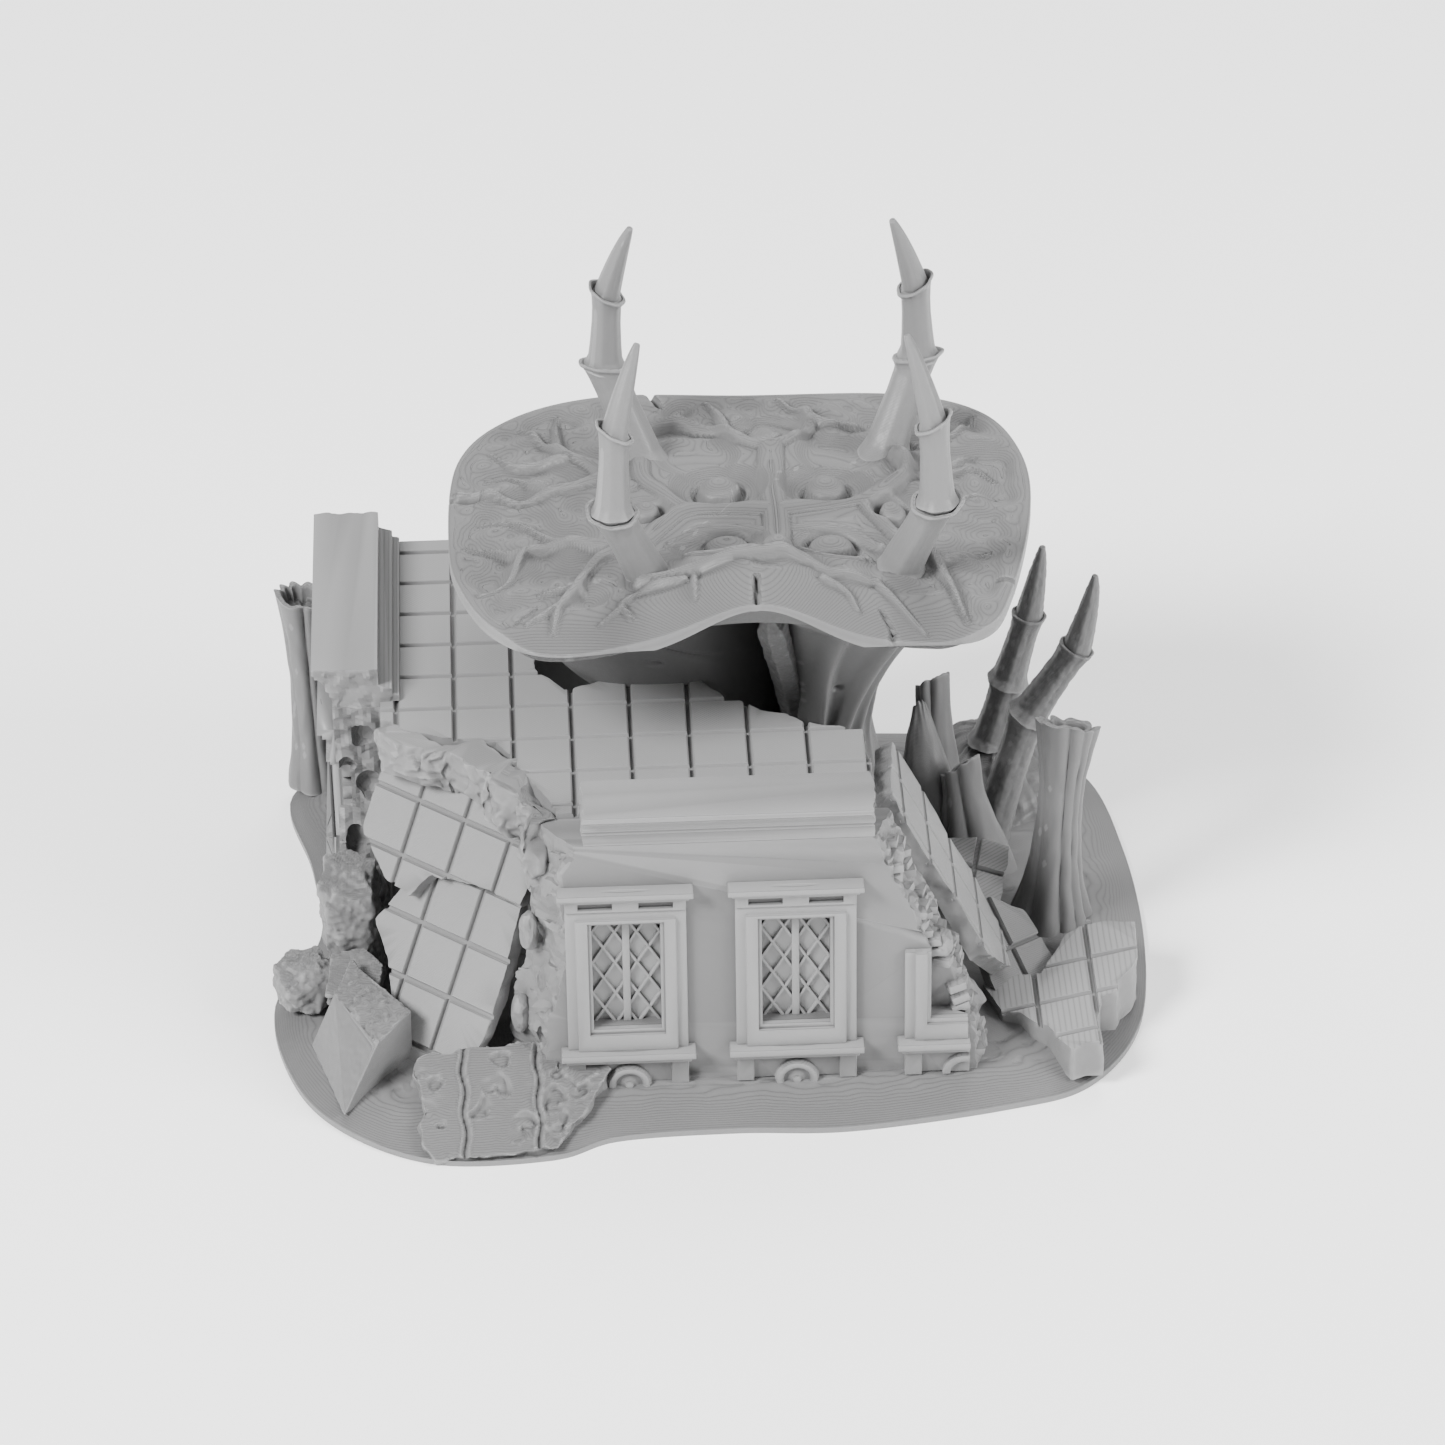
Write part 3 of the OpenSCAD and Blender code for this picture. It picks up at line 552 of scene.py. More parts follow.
def makeWedgeSlab():
    x0, y0 = wedgeSlab["grid"][0] - 36, wedgeSlab["grid"][1] - 36
    block = tiledSheet(x0, y0, 9, 9, 16)
    carry = placed(wedgeSlab["at"], (0, -wedgeSlab["rise"], 0))
    bmesh.ops.transform(block, matrix=carry, verts=block.verts)
    block = carve(block, roughPrism(wedgeSlab["outline"], 2.5, 18, 0.3, 16.0, size=4, step=0.7))
    finishPiece("fallenSlabFront", block, "tilePlastic", "ruin", ["fallen_slab_front"])


makeWedgeSlab()
print("ground, roof and slabs made")


# Walls

glass = {"wide": 10.4, "low": 14.4, "high": 34.0, "deep": 2.2}


def standing(y):                               # a flat outline stood up along x
    return placed((0, y, 0), (90, 0, 0)) @ Matrix.Scale(-1, 4, (0, 0, 1))


def standingSideways(x):                       # and along y
    return Matrix(((0, 0, 1, x), (1, 0, 0, 0), (0, 1, 0, 0), (0, 0, 0, 1)))


# rough: depth, seed and size of the break; cut: how far glass holes reach
walls = {
    "front": dict(node="front_wall", face=-41.0, box=((-38, -41, 3.5), (46, -33.5, 48)),
                  cut=(-2, glass["deep"]),
                  centres=(-14.0, 11.8), third=37.7, stand=standing(-42.5), rough=(1.35, 21.0, 3.0),
                  slant=(7.0, 3.2),
                  step=0.6, scoopSeed=3.0,
                  outline=[[-26, -2], [39, -2], [39, 4], [38, 12], [34.5, 22], [31.5, 28], [28, 36],
                           [25, 44], [23.6, 48],
                           [23.6, 53], [-20.6, 53], [-20.6, 48], [-23, 38], [-22, 27], [-25, 15], [-26, 4]],
                  scoops=[((-26.0, -38.6, 44.0), (1.0, 1.6, 2.6)), ((-28.0, -37.6, 37.0), (1.6, 1.8, 3.0)),
                          ((-28.6, -36.4, 29.5), (1.5, 1.6, 3.6)), ((-27.5, -38.4, 21.5), (1.3, 1.8, 3.2)),
                          ((-30.4, -36.2, 14.0), (1.5, 1.8, 3.6)), ((-27.2, -39.6, 11.5), (0.9, 1.0, 2.4)),
                          ((27.0, -37.5, 42.0), (1.6, 2.0, 2.0)), ((31.2, -38.2, 33.5), (1.8, 2.0, 2.2)),
                          ((34.4, -38.0, 25.5), (1.6, 2.2, 2.6)), ((38.5, -37.8, 17.0), (1.7, 2.2, 2.4))]),
    "left": dict(node="left_wall", face=-58.0, box=((-58, -8, 3.5), (-50.5, 44.5, 48)),
                 cut=(-2, glass["deep"]),
                 centres=(28.4, 7.0), stand=standingSideways(-59.5), rough=(1.1, 22.0, 3.2), slant=(0.0, 0.0),
                 step=0.6, scoopSeed=8.0,
                 outline=[[0, -2], [48, -2], [48, 53], [-2, 53], [-2, 48], [1, 41], [3, 30], [-1, 22],
                          [-3, 12], [0, 4]],
                 scoops=[((-53.5, 0.4, 41.5), (1.9, 2.2, 3.4)), ((-56.2, 1.6, 35.0), (1.4, 2.0, 2.0)),
                         ((-53.0, 2.4, 30.5), (2.2, 2.2, 2.8)), ((-55.4, -0.2, 22.0), (1.8, 1.8, 3.0)),
                         ((-52.6, -2.4, 14.0), (1.8, 1.8, 3.2))]),
    "rear": dict(node="rear_wall", face=44.5, box=((-50.5, 37, 3.5), (20, 44.5, 45.5)),
                 cut=(-glass["deep"], 2),
                 centres=(-39.8, -14.0), stand=standing(35.5), rough=(0.8, 23.0, 3.6), slant=(0.0, 0.0),
                 step=0.8, scoopSeed=0.0, scoops=[],
                 outline=[[-54, -2], [16, -2], [16, 4], [14, 14], [9, 22], [11, 33], [4, 39], [2, 45.5],
                          [2, 50], [-54, 50]]),
}


def makeWall(side, wall):
    block = boxBetween(*wall["box"])
    for centre in wall["centres"]:             # each glazed opening is sunk into the outer face
        corners = [(centre + half * glass["wide"] / 2, wall["face"] + reach, z)
                   for half, reach, z in zip((-1, 1), wall["cut"], (glass["low"], glass["high"]))]
        if side == "left":
            corners = [(y, x, z) for x, y, z in corners]
        block = carve(block, boxBetween(*corners), "DIFFERENCE")
    if "third" in wall:                        # the broken window runs out into the break
        low = (wall["third"] - 5.2, wall["face"] - 1, glass["low"])
        block = carve(block, boxBetween(low, (60, wall["face"] + glass["deep"], 60)), "DIFFERENCE")
    rough, seed, size = wall["rough"]
    cutter = roughPrism(wall["outline"], 0, 10.5, rough, seed, size, wall["slant"], wall["step"])
    bmesh.ops.transform(cutter, matrix=wall["stand"], verts=cutter.verts)
    bmesh.ops.recalc_face_normals(cutter, faces=cutter.faces)
    block = scoopedOut(carve(block, cutter), wall["scoops"], wall["scoopSeed"])
    finishPiece(side + "Wall", block, "wallPlastic", "ruin", [wall["node"]], sharp=12)


for wallSide, wallValues in walls.items():
    makeWall(wallSide, wallValues)

bricks = {"size": (2.8, 2.0, 1.35), "course": 1.75, "rows": (-39.2, -37.2, -35.2), "proud": 0.5, "seed": 5}


def makeBricks():                              # brick ends showing in the broken right edge of the front wall
    dice = random.Random(bricks["seed"])
    edge = np.array(walls["front"]["outline"][2:9], float)
    slant = walls["front"]["slant"][1]
    parts = []
    z = 6.0
    while z < 46:
        x = np.interp(z, edge[:, 1], edge[:, 0])
        for y in bricks["rows"]:
            if dice.random() < 0.34:
                continue
            brick = boxBetween([-s / 2 for s in bricks["size"]], [s / 2 for s in bricks["size"]])
            easeEdges(brick, 0.18)
            turn = Matrix.Rotation(dice.uniform(-0.3, 0.3), 4,
                                   "Y") @ Matrix.Rotation(dice.uniform(-0.5, 0.5), 4, "Z")
            deep = x + (y + 42.5) / 10.5 * slant - bricks["size"][0] / 2 + bricks["proud"]
            place = Matrix.Translation((deep + dice.uniform(-0.5, 0.6), y, z + dice.uniform(-0.2, 0.2)))
            bmesh.ops.transform(brick, matrix=place @ turn, verts=brick.verts)
            parts.append(brick)
        z += bricks["course"]
    finishPiece("wallBricks", weather(joined(parts), 0.12, 1.2, 3), "rubblePlastic", "ruin")


makeBricks()

parapets = {                                   # moulding: out from the wall's face, up from the wall's top
    "moulding": [[0, 0], [0, 2.0], [-0.35, 2.2], [-0.35, 2.9], [-0.9, 3.15], [-0.9, 3.7], [-1.25, 4.5],
                 [-1.7, 5.1], [-2.2, 5.4],
                 [-2.55, 5.5], [-2.55, 5.95], [-3, 6.05], [-3, 7], [7.3, 7], [7.3, 4], [9.4, 3.4],
                 [9.4, 2.4], [10.5, 2],
                 [10.5, 1], [7.5, 1], [7.5, 0]],
    "chips": 0.6, "bevel": 0.12,
}


def makeParapet(name, node, low, high, place, seed):
    bm = bmesh.new()
    corners = [bm.verts.new(place(low, out, up)) for out, up in parapets["moulding"]]
    side = bm.faces.new(corners)
    grown = bmesh.ops.extrude_face_region(bm, geom=[side])
    away = Vector(place(high, 0, 0)) - Vector(place(low, 0, 0))
    bmesh.ops.translate(bm, vec=away, verts=vertsOf(grown))
    bmesh.ops.recalc_face_normals(bm, faces=bm.faces)
    easeEdges(bm, parapets["bevel"], 2, 20)
    ends = [Vector(place(end, out, 0)) for end,
            out in ((low + 0.4, -6), (high - 0.4, -6), (high - 0.4, 14), (low + 0.4, 14))]
    bm = carve(bm, roughPrism([v[:2] for v in ends], 46, 57, parapets["chips"], seed, size=2.4, step=0.5))
    finishPiece(name, bm, "trimPlastic", "ruin", [node], sharp=14)


makeParapet("frontParapet", "front_parapet", -20.5, 24.0, lambda along, out, up: (along, -41 + out, 48 + up),
            31.0)
makeParapet("leftParapet", "left_parapet", -2.0, 44.5, lambda along, out, up: (-58 + out, along, 48 + up),
            32.0)

windowEase = {"window_head": 0.14, "window_frame": 0.14, "window_sill": 0.14,
              "side_window": 0.08, "rear_window": 0.08}


def makeWindows():
    for node in sorted(nodes):
        for kind, width in windowEase.items():
            if node.startswith(kind):
                finishPiece(pieceName(node), easeEdges(copyOf(node), width), "trimPlastic", "ruin", [node])


makeWindows()

lattice = {"mullion": 1.15, "bar": 0.46, "deep": 0.45, "pitch": (3.5, 5.7), "back": 1.75}


def makeLattice(name, node, centre):           # two casements of leaded diamonds before a plain pane
    face = walls["front"]["face"] + lattice["back"]
    low, high = glass["low"], glass["high"]
    halfPane, halfMullion, halfBar = glass["wide"] / 2, lattice["mullion"] / 2, lattice["bar"] / 2
    parts = [boxBetween((centre - halfPane, face + 0.15, low), (centre + halfPane, face + 0.6, high)),
             boxBetween((centre - halfMullion, face - 0.75, low), (centre + halfMullion, face + 0.3, high))]
    easeEdges(parts[1], 0.15)
    acrossPitch, upPitch = lattice["pitch"]
    for side in (-1, 1):
        left, right = sorted((centre + side * halfMullion, centre + side * halfPane))
        bars = []
        for way in (-1, 1):
            turn = Matrix.Rotation(-way * math.atan2(upPitch, acrossPitch), 4, "Y")
            for k in range(-3, 9):
                bar = easeEdges(boxBetween((-12, -lattice["deep"], -halfBar), (12, 0.3, halfBar)), 0.12)
                place = Matrix.Translation((left if side < 0 else right, face + way * 0.04,
                                            low + (k - 0.1) * upPitch))
                bmesh.ops.transform(bar, matrix=place @ turn, verts=bar.verts)
                bars.append(bar)
        net = joined(bars)
        for spot, way in (((left, 0, 0), (-1, 0, 0)), ((right, 0, 0), (1, 0, 0)), ((0, 0, low), (0, 0, -1)),
                          ((0, 0, high), (0, 0, 1))):
            cutOff(net, spot, way, clear_outer=True)
        parts.append(net)
    finishPiece(name, joined(parts), "trimPlastic", "ruin", [node])


for number, latticeCentre in enumerate(walls["front"]["centres"], 1):
    makeLattice(f"windowLattice{number}", f"window_lattice_{number}", latticeCentre)

medallion = {                                  # profile: out from the middle, proud of the apron
    "z": 4.3, "out": 1.75, "steps": 40,
    "profile": [(0.0, 0.5), (0.55, 0.42), (0.75, 0.0), (1.5, -0.25), (2.0, -0.2), (2.2, 0.3), (2.6, 0.45),
                (3.1, 0.35), (3.3, -0.4)],
}


def makeMedallions():                          # a ringed boss in the middle of each apron
    parts = []
    for centre in walls["front"]["centres"]:
        bm = bmesh.new()
        line = [bm.verts.new((r, -h, 0)) for r, h in medallion["profile"]]
        edges = [bm.edges.new(pair) for pair in zip(line[:-1], line[1:])]
        bmesh.ops.spin(bm, geom=line + edges, cent=(0, 0, 0), axis=(0, 1, 0), angle=2 * math.pi,
                       steps=medallion["steps"],
                       use_merge=True)
        bmesh.ops.remove_doubles(bm, verts=bm.verts, dist=0.001)
        closeHoles(bm)
        bmesh.ops.recalc_face_normals(bm, faces=bm.faces)
        bmesh.ops.translate(bm, vec=(centre, walls["front"]["face"] - medallion["out"], medallion["z"]),
                            verts=bm.verts)
        parts.append(keepAbove(bm, 3.6))
    finishPiece("apronBosses", joined(parts), "trimPlastic", "ruin")


makeMedallions()
print("walls, parapets and windows made")


# broken masonry under the roof's missing corner; wide, tall: half sizes
tornEdge = {
    "path": [(-51.5, -6.8, 46.4), (-49, -9.0, 46.0), (-46, -11.4, 45.6), (-41, -13.6, 45.4),
             (-36, -15.2, 45.2), (-32.5, -18.2, 45.0),
             (-30.2, -23.0, 44.8), (-28.4, -28.0, 44.4), (-27.0, -33.0, 43.6), (-26.0, -38.0, 42.0)],
    "wide": 2.4, "tall": 4.6, "top": 48.9,
}


def makeTornEdge():
    path = np.array(tornEdge["path"], float)
    run = lengthsAlong(path)

    def place(u, v):
        s = v * run[-1]
        centre = np.column_stack([np.interp(s, run, path[:, k]) for k in range(3)])
        ahead = np.column_stack([np.interp(s + 0.5, run, path[:, k]) - np.interp(s - 0.5, run, path[:, k])
                                 for k in (0, 1)])
        ahead /= np.linalg.norm(ahead, axis=1)[:, None] + 1e-9
        out = np.column_stack([ahead[:, 1], -ahead[:, 0]])
        a = u * 2 * math.pi
        square = (np.abs(np.cos(a)) ** 4 + np.abs(np.sin(a)) ** 4) ** -0.25
        ends = np.sqrt(np.clip(np.minimum(v, 1 - v) * 9, 0, 1))
        spots = centre.copy()
        spots[:, :2] += out * (tornEdge["wide"] * square * np.cos(a) * ends)[:, None]
        spots[:, 2] += tornEdge["tall"] * square * np.sin(a) * ends
        push = noiseAt(spots * [1, 1, 0.5], 4.2, 51) + 0.22 * noiseAt(spots, 1.3, 52)
        return spots + push * 3.0 * ends[:, None] * [1, 1, 0.35]
    bm = cutOff(rolledGrid(80, 130, place), (0, 0, tornEdge["top"]), (0, 0, 1), clear_outer=True)
    finishPiece("tornEdge", bm, "rubblePlastic", "ruin", sharp=35)


makeTornEdge()


# Rubble

rubble = {                                     # voxel, depth, wave size, seed
    "rim_rock": (0.35, 0.8, 2.6, 43),
    "wall_stump": (0.35, 0.8, 3.0, 44), "leaning_chunk": (0.3, 0.4, 2.0, 45),
}


def makeRubble():
    for node, (voxel, depth, size, seed) in rubble.items():
        bm = remeshed(copyOf(node), voxel)
        weather(bm, depth, size, seed)
        finishPiece(pieceName(node), bm, "rubblePlastic", "ruin", [node], sharp=60)


makeRubble()

wedge = {"corners": [(-52.5, -41.5, 12.5), (-57.9, -46, 2.6), (-63, -28.9, 3.5), (-59.1, -27.1, 12),
                     (-47.2, -33.6, 13.0),
                     (-47.3, -32.6, 3.2), (-56.3, -21.5, 13.8), (-57, -22, 3.2)],
         "inner": 0.9, "line": 0.22}


# a fallen cornice stone with a fine line beside its edges and a torn back
def makeWedge():
    bm = bmesh.new()
    for corner in wedge["corners"]:
        bm.verts.new(corner)
    bmesh.ops.convex_hull(bm, input=bm.verts)
    bmesh.ops.dissolve_limit(bm, angle_limit=math.radians(6), verts=bm.verts, edges=bm.edges)
    lit = max(bm.faces, key=lambda f: f.normal.dot(Vector((-0.75, -0.32, 0.58))))
    bmesh.ops.inset_individual(bm, faces=[lit], thickness=wedge["inner"], depth=0)
    bmesh.ops.inset_individual(bm, faces=[lit], thickness=0.12, depth=-wedge["line"])
    bmesh.ops.inset_individual(bm, faces=[lit], thickness=0.2, depth=0)
    bmesh.ops.inset_individual(bm, faces=[lit], thickness=0.12, depth=wedge["line"])
    bm = remeshed(easeEdges(bm, 0.12), 0.16)
    bm.normal_update()
    spots = np.array([v.co for v in bm.verts])
    rough = noiseAt(spots, 2.6, 61)[:, 0] + 0.5 * noiseAt(spots, 1.0, 62)[:, 1]
    upward = np.array([smoothStep(v.normal.z, 0.72, 0.9) for v in bm.verts])
    for v, push in zip(bm.verts, (rough * (0.06 + 0.9 * upward)).tolist()):
        v.co += v.normal * push
    finishPiece("wedgeBlock", bm, "rubblePlastic", "ruin", ["wedge_block"], sharp=50)


makeWedge()

carved = {
    "at": (-33, -47.3, 5.5), "turn": (27.5, 0, 1), "thick": 8.0,
    "outline": [[-13.3, 7.6], [-11.8, 8.6], [-8.2, 8.4], [-7.6, 9.2], [0, 9.4], [4.6, 9.8], [5.4, 9.2],
                [9.8, 9.6], [12.0, 7.6], [13.4, 7.4],
                [16.4, 4.4], [14.6, 2.0], [13.6, 0.0], [11.6, -3.4], [9.6, -5.0], [7.4, -8.2], [0, -8.9],
                [-6.4, -9.3],
                [-11.2, -9.7], [-13.0, -7.0], [-13.6, -3.4], [-12.4, -1.0], [-13.2, 3.0], [-14.2, 5.4]],
    "grooves": (-6.4, 5.0),
    "scrolls": [(-1.5, 2.5, 2.6, 1.2), (-3.0, -1.5, 2.2, 1.0), (2.2, -4.5, 2.6, 1.1), (0.5, 6.0, 1.8, 0.9),
                (8.6, 5.0, 2.2, 1.1),
                (11.0, 1.5, 2.4, 1.2), (8.0, -0.6, 2.0, 1.0), (8.4, -4.4, 1.8, 0.9), (-9.8, 4.0, 1.6, 0.9),
                (-10.5, -3.5, 1.5, 0.8)],
}


def makeCarved():
    block = roughPrism(carved["outline"], -carved["thick"], 0, 0.35, 63.0, size=2.4, step=0.6)
    bm = remeshed(block, 0.24)
    bm.normal_update()
    spots = np.array([v.co for v in bm.verts])
    up = np.array([smoothStep(v.normal.z, 0.3, 0.8) for v in bm.verts])
    x, y = spots[:, 0], spots[:, 1]
    warp = noiseAt(spots * [1, 1, 0], 3.2, 64) * 2.6
    bent = np.column_stack([x + warp[:, 0], y + warp[:, 1], 0 * x])
    ridged = 0.5 - np.abs(noiseAt(bent, 3.6, 65)[:, 0]) * 2.2
    amount = 0.25 + 0.75 * smoothStep(x, 0, 6) + 0.5 * smoothStep(-x, 8, 11)
    lift = 0.55 * ridged * amount + 0.25 * noiseAt(spots, 1.1, 66)[:, 1] * amount
    for cx, cy, size, deep in carved["scrolls"]:           # curled chips with a sharp rim on one side
        d = np.hypot(x - cx + warp[:, 0] * 0.8, y - cy + warp[:, 1] * 0.8) / size
        turn = np.arctan2(y - cy, x - cx)
        bowl = 1 - smoothStep(d + 0.18 * np.sin(turn * 2 + cx), 0.5, 1.0)
        lift = lift - deep * bowl * (0.6 + 0.4 * np.sin(turn + cy))
    for groove in carved["grooves"]:
        wander = groove + 0.25 * np.sin(y * 0.9 + groove)
        off = np.abs(x - wander)
        lift = lift - 0.6 * np.exp(-(off / 0.3) ** 4) + 0.25 * np.exp(-((off - 0.75) / 0.22) ** 2)
    side = noiseAt(spots, 2.2, 67)[:, 0] * 0.5 * (1 - up)
    for v, rise, push in zip(bm.verts, (lift * up).tolist(), side.tolist()):
        v.co += Vector((0, 0, rise)) + v.normal * push
    bmesh.ops.transform(bm, matrix=placed(carved["at"], carved["turn"]), verts=bm.verts)
    finishPiece("carvedBlock", keepAbove(bm, 0.2), "rubblePlastic", "ruin", ["carved_block"],
                sharp=50)


makeCarved()
print("rubble made")


# Growth standing on the ground

# rings of (centre, direction, radius, tilt) joined into a closed tube
def ringTube(stations, across, shape=None):
    centres = np.array([s[0] for s in stations], float)
    ways = np.array([s[1] for s in stations], float)
    ways /= np.linalg.norm(ways, axis=1)[:, None]
    radii = np.array([s[2] for s in stations], float)
    tilts = np.array([s[3] for s in stations], float)
    side = np.cross([0, 1, 0], ways)
    side /= np.linalg.norm(side, axis=1)[:, None]
    front = np.cross(ways, side)

    def place(u, v):
        k = np.rint(v * (len(stations) - 1)).astype(int)
        a = u * 2 * math.pi
        r = radii[k] * (shape(a, k) if shape else 1)
        spots = centres[k] + side[k] * (r * np.cos(a))[:, None] + front[k] * (r * np.sin(a))[:, None]
        return spots + ways[k] * (tilts[k] * radii[k] * np.cos(a))[:, None]
    return rolledGrid(across, len(stations) - 1, place)


# foot, lean, heights with radii, flutes, flute depth, slant of the torn top
reeds = {
    "flutedPillar": dict(node="fluted_pillar", at=(54, -2, 3.5), lean=(2.3, 0), n=8, depth=0.17,
                         slant=(2.0, -2.1), turn=0.3, squash=0.85,
                         steps=[(0, 6.6), (2, 5.8), (6, 4.8), (12, 3.9), (19, 3.3), (26, 3.3), (32, 4.0),
                                (37, 4.8)]),
    "shellTall": dict(node="shell_tall", at=(37.6, 18, 3.5), lean=(-0.6, 4), n=5, depth=0.15,
                      slant=(2.0, -0.9), turn=1.2, squash=0.7,
                      steps=[(0, 5.4), (10, 4.6), (18, 3.6), (25, 2.7), (30, 2.7)]),
    "shellLow": dict(node="shell_low", at=(43.5, 12, 3.5), lean=(-2.6, 1.5), n=5, depth=0.16,
                     slant=(2.4, -0.6), turn=0.4, squash=0.7,
                     steps=[(0, 6.4), (5, 5.6), (10, 4.2), (15, 3.2), (19, 3.0)]),
    "shellLeaf": dict(node=None, at=(37.2, 13, 3.5), lean=(-2.6, 6.5), n=2, depth=0.06, slant=(1.0, -1.0),
                      turn=0.9, squash=0.6,
                      steps=[(0, 4.6), (8, 4.8), (16, 4.0), (22, 2.6), (27, 0.9)]),
    "rearStump": dict(node="rear_stump", at=(-63, 43.5, 3.5), lean=(-0.6, 0), n=8, depth=0.16,
                      slant=(0.8, 3.0), turn=0, squash=0.9,
                      steps=[(0, 4.6), (8, 3.3), (20, 2.8), (30, 3.4), (36, 4.3)]),
}


def makeReed(name, reed):
    steps = np.array(reed["steps"], float)
    top = steps[-1, 0]
    heights = np.concatenate([np.arange(0, top, 0.4), [top]])
    radii = np.interp(heights, steps[:, 0], steps[:, 1])
    radii = np.convolve(np.pad(radii, 4, mode="edge"), np.ones(9) / 9, "valid")
    radii[-1] = steps[-1, 1]
    # over the torn lip and down inside the reed
    inner = np.array([0.93, 0.8, 0.74, 0.7, 0.62, 0.3, 0.05])
    drop = np.array([-0.05, 0.1, 0.7, 1.6, 2.6, 3.0, 3.0])
    z = np.concatenate([heights, top - drop])
    r = np.concatenate([radii, inner * radii[-1]])

    def place(u, v):
        k = np.rint(v * (len(z) - 1)).astype(int)
        a = u * 2 * math.pi + reed["turn"]
        share = z[k] / top
        twist = a + 0.25 * share + 0.3 * np.sin(2 * a + reed["n"])
        wave = np.abs(np.sin(reed["n"] * twist / 2))
        flute = reed["depth"] * (1.4 * wave ** 0.8 - 0.8) * (0.75 + 0.35 * np.sin(a * 3 + 1))
        skin = noiseAt(np.column_stack([np.cos(a) * 3, np.sin(a) * 3, z[k] * 0.3]), 1.2, reed["n"])[:, 0]
        radius = r[k] * (1 + flute + 0.05 * skin)
        x = reed["at"][0] + radius * np.cos(a) + reed["lean"][0] * share
        y = reed["at"][1] + radius * np.sin(a) * reed["squash"] + reed["lean"][1] * share
        torn = reed["slant"][0] * np.cos(a - reed["slant"][1]) + 0.7 * skin + 0.5 * wave
        lift = smoothStep(share, 0.75, 1.0) * torn
        return np.column_stack([x, y, reed["at"][2] + z[k] + lift])
    finishPiece(name, rolledGrid(112, len(z) - 1, place), "growthPlastic", "ruin", [reed["node"]]
                if reed["node"] else (), sharp=55)


for reedName, reedValues in reeds.items():
    makeReed(reedName, reedValues)

mound = {"at": (48, 36), "radius": 13.0, "height": 11.0}


def makeMound():
    def place(u, v):
        a = u * 2 * math.pi
        t = np.clip((v - 0.04) / 0.96, 0, 1)
        r = mound["radius"] * (1 - t) ** 0.55 * (1 + 0.06 * np.cos(3 * a))
        r = np.where(v < 0.02, 0, r)
        z = 3.4 + mound["height"] * t ** 0.8
        spots = np.column_stack([mound["at"][0] + r * np.cos(a), mound["at"][1] + 1.1 * r * np.sin(a), z])
        ribs = noiseAt(np.column_stack([np.cos(a) * 6, np.sin(a) * 6, z * 0.12]), 1.0, 3)[:, 0]
        fine = noiseAt(spots, 1.6, 4)[:, 1]
        push = (0.8 * ribs + 0.35 * fine) * smoothStep(t, 0, 0.1)
        spots[:, 0] += np.cos(a) * push
        spots[:, 1] += np.sin(a) * push
        spots[:, 2] += 0.5 * push * (v > 0.03)
        return spots
    finishPiece("rootMound", rolledGrid(160, 60, place), "growthPlastic", "ruin", ["root_mound"],
                sharp=60)


makeMound()

# Spines: shafts that end in cups, then a bent claw

spines = {
    "shares": [0, 0.357, 0.68, 1], "height": 41.7, "top": 75.0, "middle": (10.4, 7.7),
    "spread": [[18.8, 17], [24.4, 21.5], [23.8, 20.5], [20, 17.2]],
    "radii": [3.2, 2.55, 2.2], "tip": 0.45, "facet": 0.06,
    "shaft": [(0.0, 1.3), (0.05, 1.18), (0.12, 1.04), (0.3, 0.96), (0.6, 0.88), (0.8, 0.88), (0.9, 0.93),
              (0.96, 1.0), (0.985, 1.06)],
}


def spineStations(points, radii, tip, outward, ringed):
    p = np.array(points, float)
    rows = []
    for i in (0, 1):
        way = p[i + 1] - p[i]
        reach = np.linalg.norm(way)
        share = np.array([s for s, r in spines["shaft"]])
        size = np.array([r for s, r in spines["shaft"]])
        for t in np.arange(0, 0.985, 0.35 / reach):
            start = np.clip(t * 3, 0, 1)
            direction = way if i else (1 - start) * np.array([0, 0, reach]) + start * way
            rows.append((p[i] + way * t, direction, radii[i] * np.interp(t, share, size),
                         outward * smoothStep(t, 0.8, 0.97)))
        for t, r in ((0.985, 1.10), (1.0, 1.14), (1.02, 1.12), (1.027, 1.05), (1.02, 0.97), (0.995, 0.93)):
            rows.append((p[i] + way * t, way, radii[i] * (0.93 if ringed else 1.0) * r, outward))
        rows.append((p[i] + way * 0.985, way, radii[i + 1] * 1.0, outward * 0.5))
    bend = p[2] + (p[3] - p[2]) * 0.5 + (p[2] - p[1]) * 0.12
    for t in np.concatenate([np.linspace(0, 0.92, 40), np.linspace(0.93, 0.985, 8)]):
        centre = (1 - t) ** 2 * p[2] + 2 * t * (1 - t) * bend + t * t * p[3]
        way = (1 - t) * (bend - p[2]) + t * (p[3] - bend)
        r = radii[2] * (0.93 * (1 - t) ** 0.85) + tip * t
        rows.append((centre, way, r, 0))
    for t, r in ((0.992, 0.85), (0.998, 0.55), (1.0, 0.12)):
        rows.append((p[3] + (p[3] - bend) * (t - 1), p[3] - bend, tip * r, 0))
    return rows


def makeSpine(name, node, points, radii, body, outward, ringed=False):
    rows = spineStations(points, radii, spines["tip"], outward, ringed)
    total = len(rows)

    def shape(a, k):
        facets = np.abs(((a * 7 / (2 * math.pi)) % 1) - 0.5) * 2
        return 1 + spines["facet"] * (facets - 0.5) * (k < total - 14)
    bm = ringTube(rows, 84, shape)
    if ringed:
        weather(bm, 0.1, 0.9, len(name))
    finishPiece(name, bm, "clawPlastic" if ringed else "hornPlastic", body, [node], sharp=50)


